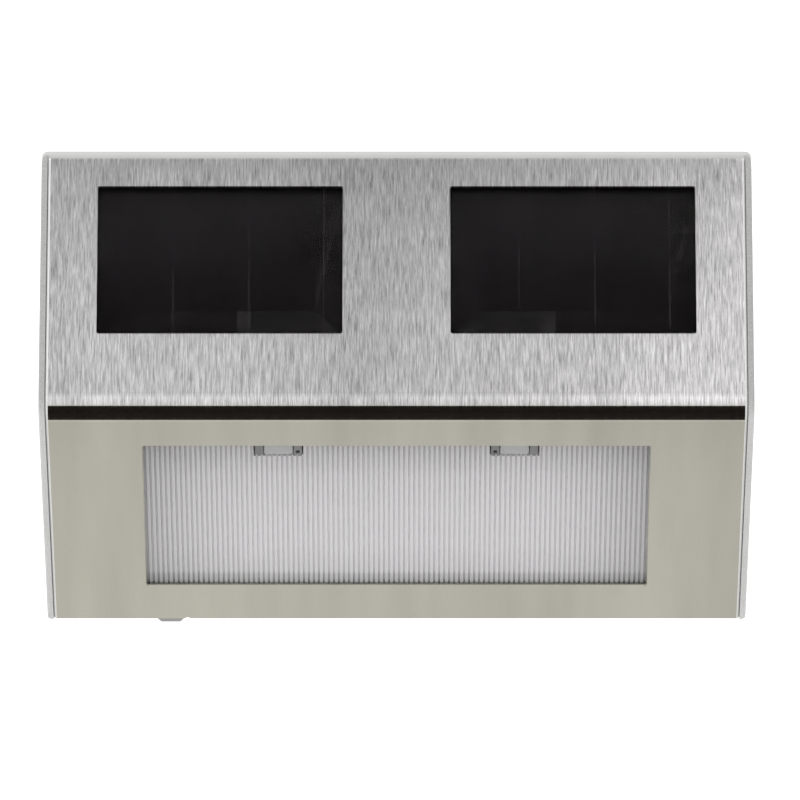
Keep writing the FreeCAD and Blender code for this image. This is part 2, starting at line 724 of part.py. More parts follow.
def housing_lens_opening(body):
    """The ribbed block passes through the wall; two notches let the lamps reach its edge."""
    opening = sketch(body, "XY_Plane", "lens_opening", frame=LOWER)
    half = "(block_half + lens_gap)"
    top = "(lens_top + lens_step + lens_gap)"
    foot = "(lens_foot - lens_step - lens_gap)"
    rectangle(opening, (f"-{half}", half), (foot, top))
    carve(body, opening, "inner + wall / 2")
    notches = sketch(body, "XY_Plane", "lamp_notches", frame=LOWER)
    notch_top = "led_base + led_leg_rise + notch_gap"
    for x in ("-led_x", "led_x"):
        rectangle(notches, (f"{x} - notch_half", f"{x} + notch_half"), (f"{top} - 1", notch_top))
    carve(body, notches, "inner + wall / 2")


def housing_switch_slot(body):
    """A slot in the bottom wall for the knob, and pegs for the switch's ears."""
    slot = sketch(body, "XY_Plane", "knob_slot", lift="bottom_z")
    rectangle(
        slot,
        ("switch_x - slot_half", "switch_x + slot_half"),
        ("knob_y - knob_depth / 2 - slot_gap", "knob_y + knob_depth / 2 + slot_gap"),
    )
    carve(body, slot, "bottom_wall", backward=True)
    pegs = sketch(body, "XY_Plane", "switch_pegs", lift="bottom_z + bottom_wall / 2")
    for side in ("-", "+"):
        centre = f"switch_x {side} (shell_width + shell_ear) / 2"
        across = (f"{centre} - peg_half", f"{centre} + peg_half")
        rectangle(pegs, across, ("knob_y - peg_half", "knob_y + peg_half"))
    grow(body, pegs, "bottom_wall / 2 + 2 * shell_wall")


# ---------------------------------------------------------------- steel face and tape


def face_cover():
    """One bent sheet: fold, three windows, eased edges and a drain notch."""
    body = new_body("face_cover")
    profile = folded_band(sketch(body, "YZ_Plane", "sheet_profile"), "0", "sheet_thickness", "0")
    grow(body, profile, "2 * sheet_half", both=True)
    soften(body, "Fillet", "bend_outside", "bend_radius", is_fold_edge(0))
    thickness = value("sheet_thickness")
    soften(body, "Fillet", "bend_inside", "bend_radius - sheet_thickness", is_fold_edge(thickness))
    soften(body, "Chamfer", "outer_edges", "edge_ease", is_sheet_border)
    windows = sketch(body, "XY_Plane", "solar_windows", frame=UPPER)
    for x in ("-solar_x", "solar_x"):
        rounded_rectangle(
            windows,
            (f"{x} - solar_width / 2", f"{x} + solar_width / 2"),
            ("solar_rise - solar_height / 2", "solar_rise + solar_height / 2"),
            "window_corner",
        )
    carve(body, windows, "2 * sheet_thickness")
    opening = sketch(body, "XY_Plane", "lens_window", frame=LOWER)
    rounded_rectangle(
        opening, ("-lens_width / 2", "lens_width / 2"), ("lens_foot", "lens_top"), "window_corner"
    )
    carve(body, opening, "2 * sheet_thickness")
    soften(body, "Chamfer", "window_edges", "window_ease", is_window_edge)
    notch = sketch(body, "XY_Plane", "drain_notch", frame=LOWER)
    circle(notch, "knob_x + notch_offset", "-lower_length", "notch_radius")
    carve(body, notch, "2 * sheet_thickness", both=True)
    return body


def is_sheet_border(edge):
    point = middle(edge)
    at_side = near(abs(point.x), value("sheet_half"))
    at_end = near(point.z, value("top_z")) or near(point.z, value("bottom_z"))
    return on_face(edge, 0) and (at_side or at_end)


def is_window_edge(edge):
    inside = abs(middle(edge).x) < value("sheet_half - 2 * edge_ease")
    return inside and on_face(edge, 0) and edge.Length < value("lens_width + 1")


def cover_tape():
    """Strips of tape between the steel and the housing's front wall."""
    deep = ("-seat", "-sheet_thickness")
    window_side = "solar_x + glass_half_x + tape_border"
    between = "solar_x - glass_half_x - tape_border"
    edge = "sheet_half - tape_border"
    lens_side = "block_half + 2 * tape_border"
    beside_solar = ("bend_radius", "solar_rise + glass_half_y")
    beside_lens = ("lens_foot", "-bend_radius")
    above_solar = ("solar_rise + glass_half_y + tape_border", "upper_length - tape_head")
    below_lens = ("-lower_length + tape_foot", "lens_foot - lens_step - tape_border")
    strips = [
        (UPPER, (f"-({edge})", edge), above_solar),
        (UPPER, (f"-({between})", between), beside_solar),
        (UPPER, (f"-({edge})", f"-({window_side})"), beside_solar),
        (UPPER, (window_side, edge), beside_solar),
        (LOWER, (f"-({edge})", f"-({lens_side})"), beside_lens),
        (LOWER, (lens_side, edge), beside_lens),
        (LOWER, (f"-({edge})", edge), below_lens),
    ]
    group("cover_tape", [
        block(f"tape_{n}", frame, across, along, deep) for n, (frame, across, along) in enumerate(strips)
    ])


# ---------------------------------------------------------------- solar panels


def solar_panel(side, x):
    """Glass in front, the dark film on its back, and a foam frame on the recess's floor."""
    glass_back = "(seat + glass_thickness)"
    film_back = f"({glass_back} + cell_thickness)"
    layers = [
        ("solar_glass", "0", "-seat", f"-{glass_back}"),
        ("solar_cells", "cell_margin", f"-{glass_back}", f"-{film_back}"),
    ]
    for name, margin, front, back in layers:
        across = f"(glass_half_x - {margin})"
        along = f"(glass_half_y - {margin})"
        layer = block(
            f"{name}_{side}", UPPER,
            (f"{x} - {across}", f"{x} + {across}"),
            (f"solar_rise - {along}", f"solar_rise + {along}"),
            (back, front),
        )
        keep(layer, f"{name}_{side}")
    pad = new_body(f"solar_pad_{side}", UPPER, x, "solar_rise", f"-{film_back}")
    frame = sketch(pad, "XY_Plane", f"pad_frame_{side}")
    for margin in ("cell_margin", "(cell_margin + pad_margin + 4)"):
        across = f"glass_half_x - {margin}"
        along = f"glass_half_y - {margin}"
        rectangle(frame, (f"-({across})", across), (f"-({along})", along))
    grow(pad, frame, "pad_thickness", backward=True)


# ---------------------------------------------------------------- lens, gasket and tray


def lens_plate():
    """Clear plate: a flange behind the wall and a ribbed block that fills the opening."""
    body = new_body("lens_plate", LOWER)
    flange = sketch(body, "XY_Plane", "lens_flange_outline", lift="-inner")
    rectangle(flange, ("-flange_half", "flange_half"), ("flange_foot", "flange_top"))
    grow(body, flange, "flange_thickness", backward=True)
    raised = sketch(body, "XY_Plane", "lens_block_outline", lift="-inner")
    rectangle(raised, ("-block_half", "block_half"), ("lens_foot - lens_step", "lens_top + lens_step"))
    grow(body, raised, "inner + lens_front")
    lamp_notches(body, "lens_notches", "inner + flange_thickness + 1", "0")
    lens_ribs(body)
    return body


def lens_ribs(body):
    """One groove down the plate, repeated across it at the rib pitch."""
    count = "floor(2 * block_half / rib_pitch)"
    first = f"-({count} - 1) * rib_pitch / 2"
    lift = "0.1"
    widen = f"{lift} * (groove_mouth - groove_root) / (2 * rib_depth)"
    groove = sketch(body, "XZ_Plane", "groove", lift="-(lens_top + lens_foot) / 2")
    polygon(groove, [
        (f"{first} - groove_mouth / 2 - {widen}", f"lens_front + {lift}"),
        (f"{first} - groove_root / 2", "lens_front - rib_depth"),
        (f"{first} + groove_root / 2", "lens_front - rib_depth"),
        (f"{first} + groove_mouth / 2 + {widen}", f"lens_front + {lift}"),
    ])
    pocket = carve(body, groove, "lens_height + 2 * lens_step + 1", both=True)
    ribs = body.newObject("PartDesign::LinearPattern", "ribs")
    ribs.Originals = [pocket]
    ribs.Direction = (groove, ["H_Axis"])
    ribs.Mode = "Spacing"
    ribs.setExpression("Offset", full("rib_pitch"))
    ribs.setExpression("Occurrences", full(count))
    document.recompute()
    body.Tip = ribs


def lamp_notches(body, name, depth, lift):
    """Two notches from the top edge down past the lamps' ears."""
    notches = sketch(body, "XY_Plane", name, lift=lift)
    for x in ("-led_x", "led_x"):
        across = (f"{x} - notch_half", f"{x} + notch_half")
        rectangle(notches, across, ("led_tip - notch_gap", "flange_top + 1"))
    carve(body, notches, depth)


def lens_gasket():
    """A U of black foam between the lens's flange and the tray."""
    body = new_body("lens_gasket", LOWER)
    strip = sketch(body, "XY_Plane", "gasket_outline", lift="lens_back")
    outer = "flange_half - 0.4"
    inner_x = "lens_width / 2 + 0.5"
    top = "led_tip - 1"
    foot = "flange_foot + 0.4"
    inner_y = "lens_foot + gasket_foot"
    polygon(strip, [
        (f"-({outer})", top), (f"-({outer})", foot), (outer, foot), (outer, top),
        (inner_x, top), (inner_x, inner_y), (f"-({inner_x})", inner_y), (f"-({inner_x})", top),
    ])
    grow(body, strip, "gasket_thickness", backward=True)


def reflector():
    """White tray with a flange, drafted walls and two notches for the lamps."""
    body = new_body("reflector", LOWER)
    flange = sketch(body, "XY_Plane", "tray_flange", lift="tray_front")
    rectangle(flange, ("-flange_half", "flange_half"), ("flange_foot", "flange_top"))
    grow(body, flange, "reflector_wall", backward=True)
    outside = sketch(body, "XY_Plane", "tray_outside", lift="tray_front - reflector_wall")
    wide = "(tray_half + reflector_wall)"
    rectangle(
        outside, (f"-{wide}", wide), ("tray_foot - reflector_wall", "tray_top + reflector_wall")
    )
    grow(body, outside, "tray_depth", backward=True, draft="-tray_draft")
    inside = sketch(body, "XY_Plane", "tray_inside", lift="tray_front")
    rectangle(inside, ("-tray_half", "tray_half"), ("tray_foot", "tray_top"))
    carve(body, inside, "tray_depth", draft="-tray_draft")
    lamp_notches(body, "tray_notches", "tray_depth - 1", "tray_front")
    return body


def clamp_screws():
    """Pan heads that hold the tray's flange down on the housing's low bosses."""
    screws = []
    for nx, x in enumerate(("-clamp_x", "clamp_x")):
        for ny, y in enumerate(("clamp_y - clamp_pitch / 2", "clamp_y + clamp_pitch / 2")):
            screws.append(screw(
                f"clamp_{nx}{ny}", ("clamp_head", "clamp_head_height"), ("clamp_shank", "clamp_length"),
                LOWER, x, y, "tray_front - reflector_wall - clamp_head_height", "0",
            ))
    group("clamp_screws", screws)


# ---------------------------------------------------------------- lamps


def lamp(side, x, inward):
    """A clear block lamp in its clip, face downwards, with two legs bent back to the board."""
    body = new_body(f"led_{side}", LOWER, x)
    face = sketch(body, "XY_Plane", f"lamp_face_{side}", lift="led_z + led_depth / 2")
    rectangle(face, ("-led_width / 2", "led_width / 2"), ("led_tip", "led_base"))
    grow(body, face, "led_depth", backward=True)
    soften(body, "Fillet", f"lamp_corners_{side}", "led_round", is_lamp_corner)
    collar = sketch(body, "XY_Plane", f"lamp_collar_{side}", lift="lamp_front")
    rectangle(
        collar, ("-led_width / 2 - led_collar_step", "led_width / 2 + led_collar_step"),
        ("led_base - led_collar", "led_base"),
    )
    grow(body, collar, "led_depth + 2 * led_collar_step", backward=True)
    lamp_clip(side, x, inward)
    legs = [lamp_leg(f"leg_{side}_{n}", f"{x} {sign} led_leg_pitch / 2") for n, sign in enumerate("-+")]
    group(f"led_legs_{side}", legs)


def is_lamp_corner(edge):
    """The short edges at the lamp's or the ears' lower end, in the lower slope's frame."""
    tip = min(value("led_tip"), value("ear_tip"))
    straight_in = runs_along(edge, Vector(0, 0, 1))
    return straight_in and middle(edge).y < tip + value("led_collar")


def lamp_clip(side, x, inward):
    """A dark clip open to the front, with an ear on each side of the lamp."""
    clip = new_body(f"led_holder_{side}", LOWER, x)
    plate = sketch(clip, "XY_Plane", f"clip_plate_{side}", lift="lamp_front")
    across = ("-holder_width / 2", "holder_width / 2")
    rectangle(plate, across, ("holder_foot", "holder_foot + holder_height"))
    grow(clip, plate, "holder_depth", backward=True)
    ears = sketch(clip, "XY_Plane", f"clip_ears_{side}", lift="lamp_front")
    for span in (
        ("-holder_width / 2", "ear_width - holder_width / 2"),
        ("holder_width / 2 - ear_width", "holder_width / 2"),
    ):
        rectangle(ears, span, ("ear_tip", "holder_foot + holder_height / 2"))
    grow(clip, ears, "ear_depth", backward=True)
    soften(clip, "Fillet", f"ear_corners_{side}", "led_round", is_lamp_corner)
    channel = sketch(clip, "XY_Plane", f"clip_channel_{side}", lift="lamp_front")
    half = "led_width / 2 + holder_gap"
    rectangle(channel, (f"-({half})", half), ("holder_foot - 1", "holder_foot + holder_height + 1"))
    carve(clip, channel, "led_collar_step + led_depth + holder_gap")
    ring = sketch(clip, "XY_Plane", f"clip_ring_{side}", lift="lamp_front")
    circle(ring, f"{inward} * (holder_width / 2 - ear_width / 2)", "ear_tip + ear_width / 2", "ear_hole")
    carve(clip, ring, "ear_depth")


def lamp_leg(name, x):
    """A square wire that leaves the base upwards and turns back through the board."""
    half = "led_leg / 2"
    across = (f"{x} - {half}", f"{x} + {half}")
    rise = ("led_base", "led_base + led_leg_rise")
    back = "tray_back - board_thickness - led_leg_tail"
    turn = ("led_base + led_leg_rise - led_leg", "led_base + led_leg_rise")
    up = block(f"{name}_up", LOWER, across, rise, (f"led_z - {half}", f"led_z + {half}"))
    away = block(f"{name}_back", LOWER, across, turn, (back, f"led_z + {half}"))
    return fuse(name, up, away)


def led_board():
    body = new_body("led_board", LOWER)
    outline = sketch(body, "XY_Plane", "strip_outline", lift="tray_back")
    rectangle(outline, ("-strip_length / 2", "strip_length / 2"), ("strip_foot", "strip_foot + strip_height"))
    hole = "0.8 * led_leg"
    hole_y = "led_base + led_leg_rise - led_leg / 2"
    for x in ("-led_x", "led_x"):
        for sign in "-+":
            hole_x = f"{x} {sign} led_leg_pitch / 2"
            across = (f"{hole_x} - {hole}", f"{hole_x} + {hole}")
            rectangle(outline, across, (f"{hole_y} - {hole}", f"{hole_y} + {hole}"))
    grow(body, outline, "board_thickness", backward=True)


# ---------------------------------------------------------------- rear cover


def rear_cover():
    """Flat back with keyholes, their pockets, the cell's tub and the board's posts."""
    body = new_body("rear_cover")
    plate = sketch(body, "XZ_Plane", "cover_outline")
    rectangle(plate, ("-cover_half", "cover_half"), ("cover_foot", "cover_top"))
    grow(body, plate, "cover_thickness")
    cover_keyholes(body)
    cover_tub(body)
    cover_posts(body)
    cover_screw_holes(body)
    return body


def cover_keyholes(body):
    head = "keyhole_head"
    room = f"({head} + 0.6)"
    top = f"keyhole_z + keyhole_rise + {room}"
    boxes = sketch(body, "XZ_Plane", "keyhole_boxes", lift="cover_thickness / 2")
    rooms = sketch(body, "XZ_Plane", "keyhole_rooms", lift="cover_thickness")
    holes = sketch(body, "XZ_Plane", "keyhole_entries")
    slots = sketch(body, "XZ_Plane", "keyhole_slots")
    ends = sketch(body, "XZ_Plane", "keyhole_slot_ends")
    for x in ("-keyhole_x", "keyhole_x"):
        across = (f"{x} - {room} - keyhole_wall", f"{x} + {room} + keyhole_wall")
        rectangle(boxes, across, (f"keyhole_z - {room} - keyhole_wall", f"{top} + keyhole_wall"))
        rectangle(rooms, (f"{x} - {room}", f"{x} + {room}"), (f"keyhole_z - {room}", top))
        circle(holes, x, "keyhole_z", head)
        across = (f"{x} - keyhole_slot", f"{x} + keyhole_slot")
        rectangle(slots, across, ("keyhole_z", "keyhole_z + keyhole_rise"))
        circle(ends, x, "keyhole_z + keyhole_rise", "keyhole_slot")
    grow(body, boxes, "cover_thickness / 2 + keyhole_room + keyhole_wall")
    carve(body, rooms, "keyhole_room", backward=True)
    for openings in (holes, slots, ends):
        carve(body, openings, "cover_thickness", backward=True)


def cover_tub(body):
    """The cell's tub, the ledge under its door and the boss for the door's screw."""
    ledge = sketch(body, "XZ_Plane", "door_ledge", lift="cover_thickness / 2")
    border = "door_gap + tub_wall"
    rectangle(
        ledge,
        (f"door_left - {border}", f"door_right + {border}"),
        (f"cell_z - door_half - {border}", f"cell_z + door_half + {border}"),
    )
    grow(body, ledge, "recess_depth + tub_wall - cover_thickness / 2")
    tub = sketch(body, "XZ_Plane", "tub_outside", lift="cover_thickness")
    half_x = "tub_length / 2"
    rectangle(
        tub,
        (f"-{half_x} - tub_wall", f"{half_x} + tub_wall"),
        ("cell_z - tub_half - tub_wall", "cell_z + tub_half + tub_wall"),
    )
    grow(body, tub, "-tub_floor + tub_wall - cover_thickness")
    boss = sketch(body, "XZ_Plane", "door_boss_outline", lift="cover_thickness")
    circle(boss, "door_screw_x", "cell_z", "door_boss")
    grow(body, boss, "door_screw_length + tub_wall - cover_thickness + 1")
    recess = sketch(body, "XZ_Plane", "door_recess")
    rectangle(
        recess,
        ("door_left - door_gap", "door_right + door_gap"),
        ("cell_z - door_half - door_gap", "cell_z + door_half + door_gap"),
    )
    carve(body, recess, "recess_depth", backward=True)
    inside = sketch(body, "XZ_Plane", "tub_inside")
    rectangle(inside, (f"-{half_x}", half_x), ("cell_z - tub_half", "cell_z + tub_half"))
    carve(body, inside, "-tub_floor", backward=True)
    pilot = sketch(body, "XZ_Plane", "door_pilot")
    circle(pilot, "door_screw_x", "cell_z", "door_screw_shank + door_screw_play")
    carve(body, pilot, "door_screw_length + 1", backward=True)


def cover_posts(body):
    """Two posts carry the driver board, corner to corner."""
    posts = sketch(body, "XZ_Plane", "board_posts", lift="cover_thickness / 2")
    pilots = sketch(body, "XZ_Plane", "board_pilots", lift="cover_thickness + post_height")
    for sign in ("-", "+"):
        x = f"driver_x {sign} (driver_width / 2 - post_inset)"
        z = f"driver_z {sign} (driver_height / 2 - post_inset)"
        circle(posts, x, z, "post_radius")
        circle(pilots, x, z, "post_pilot")
    grow(body, posts, "cover_thickness / 2 + post_height")
    carve(body, pilots, "post_height - 2")


def cover_screw_holes(body):
    holes = sketch(body, "XZ_Plane", "cover_holes")
    sinks = sketch(body, "XZ_Plane", "cover_sinks")
    for x in ("-boss_x", "boss_x"):
        for z in ("boss_top", "-boss_foot"):
            circle(holes, x, z, "screw_hole")
            circle(sinks, x, z, "screw_head + 0.1")
    carve(body, holes, "cover_thickness", backward=True)
    carve(body, sinks, "screw_head_height + 0.2", backward=True)


def rear_seal():
    body = new_body("rear_seal")
    ring = sketch(body, "XZ_Plane", "seal_ring", lift="cover_thickness")
    middle_line = "(cavity_half + cover_half) / 2"
    for shift in ("seal_width / 2", "-seal_width / 2"):
        half = f"{middle_line} + {shift}"
        rise = f"(cavity_top + cover_top) / 2 + {shift}"
        fall = f"(cavity_floor + cover_foot) / 2 - ({shift})"
        rectangle(ring, (f"-({half})", half), (fall, rise))
    grow(body, ring, "seal_thickness")


def rear_screws():
    """Countersunk screws, heads just below the back face."""
    screws = []
    for nx, x in enumerate(("-boss_x", "boss_x")):
        for nz, z in enumerate(("boss_top", "-boss_foot")):
            screws.append(screw(
                f"rear_screw_{nx}{nz}", ("screw_head", "screw_head_height"), ("screw_shank", "screw_length"),
                FLAT, x, "-0.2", z, "90",
            ))
    group("rear_screws", screws)


# ---------------------------------------------------------------- cell and door


def battery():
    """The cell lies along X with its button to the right."""
    turn = dict(turn="90", axis=Vector(0, 1, 0))
    right = "tub_length / 2 - contact_thickness"
    left = f"{right} - button_height - cell_length"
    can = rod("cell_can", "cell_radius", "cell_length", FLAT, left, "cell_y", "cell_z", **turn)
    button = rod(
        "cell_button", "button_radius", "button_height + 1", FLAT,
        f"{right} - button_height - 1", "cell_y", "cell_z", **turn,
    )
    keep(fuse("battery_cell", can, button), "battery_cell")
    sleeve_outer = rod(
        "sleeve_outer", "cell_radius + sleeve_thickness", "cell_length - 0.6", FLAT,
        f"{left} + 0.3", "cell_y", "cell_z", **turn,
    )
    sleeve_inner = rod("sleeve_inner", "cell_radius", "cell_length", FLAT, left, "cell_y", "cell_z", **turn)
    keep(cut("battery_sleeve", sleeve_outer, sleeve_inner), "battery_sleeve")


def contacts():
    """A plate at the button and a bent leaf at the can's flat end."""
    half = "contact_width / 2"
    tall = ("cell_z - contact_width / 2", "cell_z + contact_width / 2")
    deep = (f"cell_y - {half}", f"cell_y + {half}")
    plate = block(
        "contact_positive", FLAT, ("tub_length / 2 - contact_thickness", "tub_length / 2"), deep, tall
    )
    keep(plate, "contact_positive")
    leaf = new_body("contact_negative", FLAT, "-tub_length / 2", "cell_y", "cell_z")
    outline = sketch(leaf, "XY_Plane", "leaf_outline")
    nose = "leaf_room"
    inner_nose = f"{nose} - 1.3 * contact_thickness"
    polygon(outline, [
        ("0", half), ("0", f"-{half}"), ("2.2 * contact_thickness", f"-{half}"),
        (nose, "-0.7"), (nose, "0.7"), ("3.5 * contact_thickness", f"{half} - 0.8"),
        ("2.5 * contact_thickness", f"{half} - 1.1"), (inner_nose, "0.5"), (inner_nose, "-0.5"),
        ("contact_thickness", f"1.2 * contact_thickness - {half}"), ("contact_thickness", half),
    ])
    grow(leaf, outline, "contact_width * 0.6", both=True)


def battery_door():
    body = new_body("battery_door")
    plate = sketch(body, "XZ_Plane", "door_outline", lift="door_inset")
    rectangle(plate, ("door_left", "door_right"), ("cell_z - door_half", "cell_z + door_half"))
    grow(body, plate, "door_thickness")
    hole = sketch(body, "XZ_Plane", "door_hole", lift="door_inset")
    circle(hole, "door_screw_x", "cell_z", "door_screw_shank + 0.1")
    carve(body, hole, "door_thickness", backward=True)
    sink = sketch(body, "XZ_Plane", "door_sink", lift="door_inset")
    circle(sink, "door_screw_x", "cell_z", "screw_head + 0.1")
    carve(body, sink, "door_thickness / 2", backward=True)
    grips = sketch(body, "XZ_Plane", "door_grips", lift="door_inset")
    for n in range(3):
        left = f"door_left + grip_inset + {n} * grip_pitch"
        along = ("cell_z - door_half + grip_pitch", "cell_z + door_half - grip_pitch")
        rectangle(grips, (left, f"{left} + grip_pitch / 2"), along)
    carve(body, grips, "door_grip", backward=True)


def door_screw():
    head = ("screw_head", "door_thickness / 2 - 0.1")
    shank = ("door_screw_shank", "door_screw_length")
    whole = screw("door_screw", head, shank, FLAT, "door_screw_x", "-door_inset - 0.1", "cell_z", "90")
    keep(whole, "door_screw")


# ---------------------------------------------------------------- driver board


def driver_board():
    body = new_body("driver_board")
    outline = sketch(body, "XZ_Plane", "board_outline", lift="-board_y")
    rectangle(
        outline,
        ("driver_x - driver_width / 2", "driver_x + driver_width / 2"),
        ("driver_z - driver_height / 2", "driver_z + driver_height / 2"),
    )
    screws = []
    for n, sign in enumerate(("-", "+")):
        x = f"driver_x {sign} (driver_width / 2 - post_inset)"
        z = f"driver_z {sign} (driver_height / 2 - post_inset)"
        circle(outline, x, z, "post_pilot + 0.1")
        screws.append(screw(
            f"board_screw_{n}", ("post_radius - 0.2", "board_screw_head"),
            ("post_pilot - 0.1", "board_thickness + board_screw_length"),
            FLAT, x, "board_y - board_thickness - board_screw_head", z, "-90",
        ))
    grow(body, outline, "board_thickness")
    group("board_screws", screws)
    board_parts()


def board_parts():
    """Driver chip, boost coil and capacitor on the board's inner face."""
    face = "board_y - board_thickness"
    chip = block(
        "driver_chip", FLAT, ("driver_x - chip_length / 2", "driver_x + chip_length / 2"),
        (f"{face} - chip_height", face), ("driver_z - chip_width / 2", "driver_z + chip_width / 2"),
    )
    keep(chip, "driver_chip")
    left, right = "driver_x - part_side", "driver_x + part_side"
    above, below = "driver_z + part_rise", "driver_z - part_rise"
    coil = rod("boost_coil", "coil_radius", "coil_height", FLAT, left, face, above, "90")
    keep(coil, "boost_coil")
    can = rod("board_capacitor", "can_radius", "can_height", FLAT, right, face, below, "90")
    keep(can, "board_capacitor")


# ---------------------------------------------------------------- slide switch


def slide_switch():
    """Steel shell on the bottom wall, base and pins on top, lever and knob through the slot."""
    shell = new_body("switch_shell", FLAT, "switch_x", "knob_y", "cavity_floor")
    half_x, half_y = "shell_width / 2", "shell_depth / 2"
    outside = rectangle(
        sketch(shell, "XY_Plane", "shell_outline"), (f"-{half_x}", half_x), (f"-{half_y}", half_y)
    )
    grow(shell, outside, "shell_height")
    inside = rectangle(
        sketch(shell, "XY_Plane", "shell_inside", lift="shell_wall"),
        (f"-{half_x} + shell_wall", f"{half_x} - shell_wall"),
        (f"-{half_y} + shell_wall", f"{half_y} - shell_wall"),
    )
    carve(shell, inside, "shell_height", backward=True)
    ears = sketch(shell, "XY_Plane", "shell_ears")
    for sign in ("-", "+"):
        near_end = f"{sign}({half_x} - shell_wall / 2)"
        far_end = f"{sign}({half_x} + shell_ear)"
        span = (far_end, near_end) if sign == "-" else (near_end, far_end)
        rectangle(ears, span, (f"-{half_y}", half_y))
        centre, hole = f"{sign}(shell_width + shell_ear) / 2", "(peg_half + peg_gap)"
        rectangle(ears, (f"{centre} - {hole}", f"{centre} + {hole}"), (f"-{hole}", hole))
    grow(shell, ears, "shell_wall")
    window = rectangle(
        sketch(shell, "XY_Plane", "lever_window"),
        ("-(lever_width + knob_travel) / 2 - slot_gap", "(lever_width + knob_travel) / 2 + slot_gap"),
        ("-lever_depth / 2 - slot_gap", "lever_depth / 2 + slot_gap"),
    )
    carve(shell, window, "shell_wall", backward=True)
    switch_base(half_x, half_y)
    switch_slider()


def switch_base(half_x, half_y):
    """Brown board-like base that closes the shell, with three pins."""
    inset = "shell_wall"
    low = "shell_top - base_height"
    base = block(
        "switch_base", FLAT,
        (f"switch_x - {half_x} + {inset}", f"switch_x + {half_x} - {inset}"),
        (f"knob_y - {half_y} + {inset}", f"knob_y + {half_y} - {inset}"),
        (low, "shell_top"),
    )
    keep(base, "switch_base")
    pins = []
    for n, step in enumerate((-1, 0, 1)):
        pin_x = f"(switch_x + {step} * shell_width / 4)"
        pins.append(block(
            f"switch_pin_{n}", FLAT, (f"{pin_x} - pin_half", f"{pin_x} + pin_half"),
            ("knob_y - pin_half", "knob_y + pin_half"), ("shell_top", "shell_top + pin_length"),
        ))
    group("switch_pins", pins)


def switch_slider():
    """The lever's foot slides in the shell; the knob is pressed on the lever below it."""
    foot = "cavity_floor + shell_wall + slot_gap"
    lever_span = ("knob_x - lever_width / 2", "knob_x + lever_width / 2")
    lever_deep = ("knob_y - lever_depth / 2", "knob_y + lever_depth / 2")
    stem_high = ("bottom_z + lever_sunk", f"{foot} + lever_sunk")
    stem = block("lever_stem", FLAT, lever_span, lever_deep, stem_high)
    plate = block(
        "lever_plate", FLAT,
        ("knob_x - foot_length / 2", "knob_x + foot_length / 2"),
        ("knob_y - foot_width / 2", "knob_y + foot_width / 2"),
        (foot, f"{foot} + foot_height"),
    )
    keep(fuse("switch_lever", stem, plate), "switch_lever")
    knob = new_body("switch_knob")
    low = "bottom_z - knob_show"
    high = "cavity_floor - slot_gap"
    half = "knob_width / 2"
    front = sketch(knob, "XZ_Plane", "knob_front", lift="-knob_y")
    polygon(front, [
        (f"knob_x - {half} + knob_chamfer", low), (f"knob_x + {half} - knob_chamfer", low),
        (f"knob_x + {half}", f"{low} + knob_chamfer"), (f"knob_x + {half}", high),
        (f"knob_x - {half}", high), (f"knob_x - {half}", f"{low} + knob_chamfer"),
    ])
    grow(knob, front, "knob_depth", both=True)
    socket = sketch(knob, "XY_Plane", "knob_socket", lift=high)
    rectangle(socket, lever_span, lever_deep)
    carve(knob, socket, f"{high} - bottom_z - lever_sunk")


# ---------------------------------------------------------------- build and write


def check_and_write():
    """Every object is sound before any file is written."""
    document.recompute()
    for item in document.Objects:
        if "Invalid" in item.State or "Error" in item.State:
            raise RuntimeError(f"{item.Label} failed: {item.State}")
    for item in nodes:
        if item.Shape.isNull() or not item.Shape.isValid() or not item.Shape.Solids:
            raise RuntimeError(f"{item.Label} has no sound shape")
    os.makedirs("parts", exist_ok=True)
    for item in nodes:
        item.Shape.exportStep(f"parts/{item.Label}.step")
        print(item.Label, len(item.Shape.Solids), round(item.Shape.Volume, 2))


housing()
face_cover()
cover_tape()
for side_name, side_x in (("left", "-solar_x"), ("right", "solar_x")):
    solar_panel(side_name, side_x)
lens_plate()
lens_gasket()
reflector()
clamp_screws()
lamp("left", "-led_x", "1")
lamp("right", "led_x", "-1")
led_board()
rear_cover()
rear_seal()
rear_screws()
battery()
contacts()
battery_door()
door_screw()
driver_board()
slide_switch()
check_and_write()
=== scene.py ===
"""Looks of the solar fence light: materials for the CAD pieces, soft studio light and the camera."""

import json
import math

import bpy
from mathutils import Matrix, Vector


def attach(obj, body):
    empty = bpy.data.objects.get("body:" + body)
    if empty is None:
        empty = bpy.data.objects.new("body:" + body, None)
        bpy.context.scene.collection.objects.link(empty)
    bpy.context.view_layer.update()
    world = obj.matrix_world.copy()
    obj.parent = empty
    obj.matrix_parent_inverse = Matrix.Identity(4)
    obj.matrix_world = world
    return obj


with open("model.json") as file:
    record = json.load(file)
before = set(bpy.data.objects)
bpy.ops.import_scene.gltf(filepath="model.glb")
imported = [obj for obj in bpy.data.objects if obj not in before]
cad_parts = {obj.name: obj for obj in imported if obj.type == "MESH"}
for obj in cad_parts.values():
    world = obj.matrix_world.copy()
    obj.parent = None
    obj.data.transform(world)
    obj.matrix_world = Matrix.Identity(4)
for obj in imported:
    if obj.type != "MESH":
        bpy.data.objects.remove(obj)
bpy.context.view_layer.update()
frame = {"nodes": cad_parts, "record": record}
MM = 0.001

# Camera: a long lens that looks down on the fold. Degrees, metres, and the lens in millimetres.
ELEVATION = 28.0
DISTANCE = 1.650
TARGET = Vector((0.00069, -0.0205, 0.0027))
LENS = 375.3
SENSOR = 36.0
FARTHEST = 50.0

# Stage, in metres. The dark card that the fold mirrors reaches between two angles from the level.
FLOOR_Z = -0.22
FLOOR_SIDE = 12.0
FLOOR_BACK = 0.6
FLOOR_LIFT = 0.4
CARD_AWAY = 0.5
CARD_WIDTH = 6.0
CARD_LOW = 62.0
CARD_HIGH = 8.0
CARD_ABOVE_FLOOR = 0.002

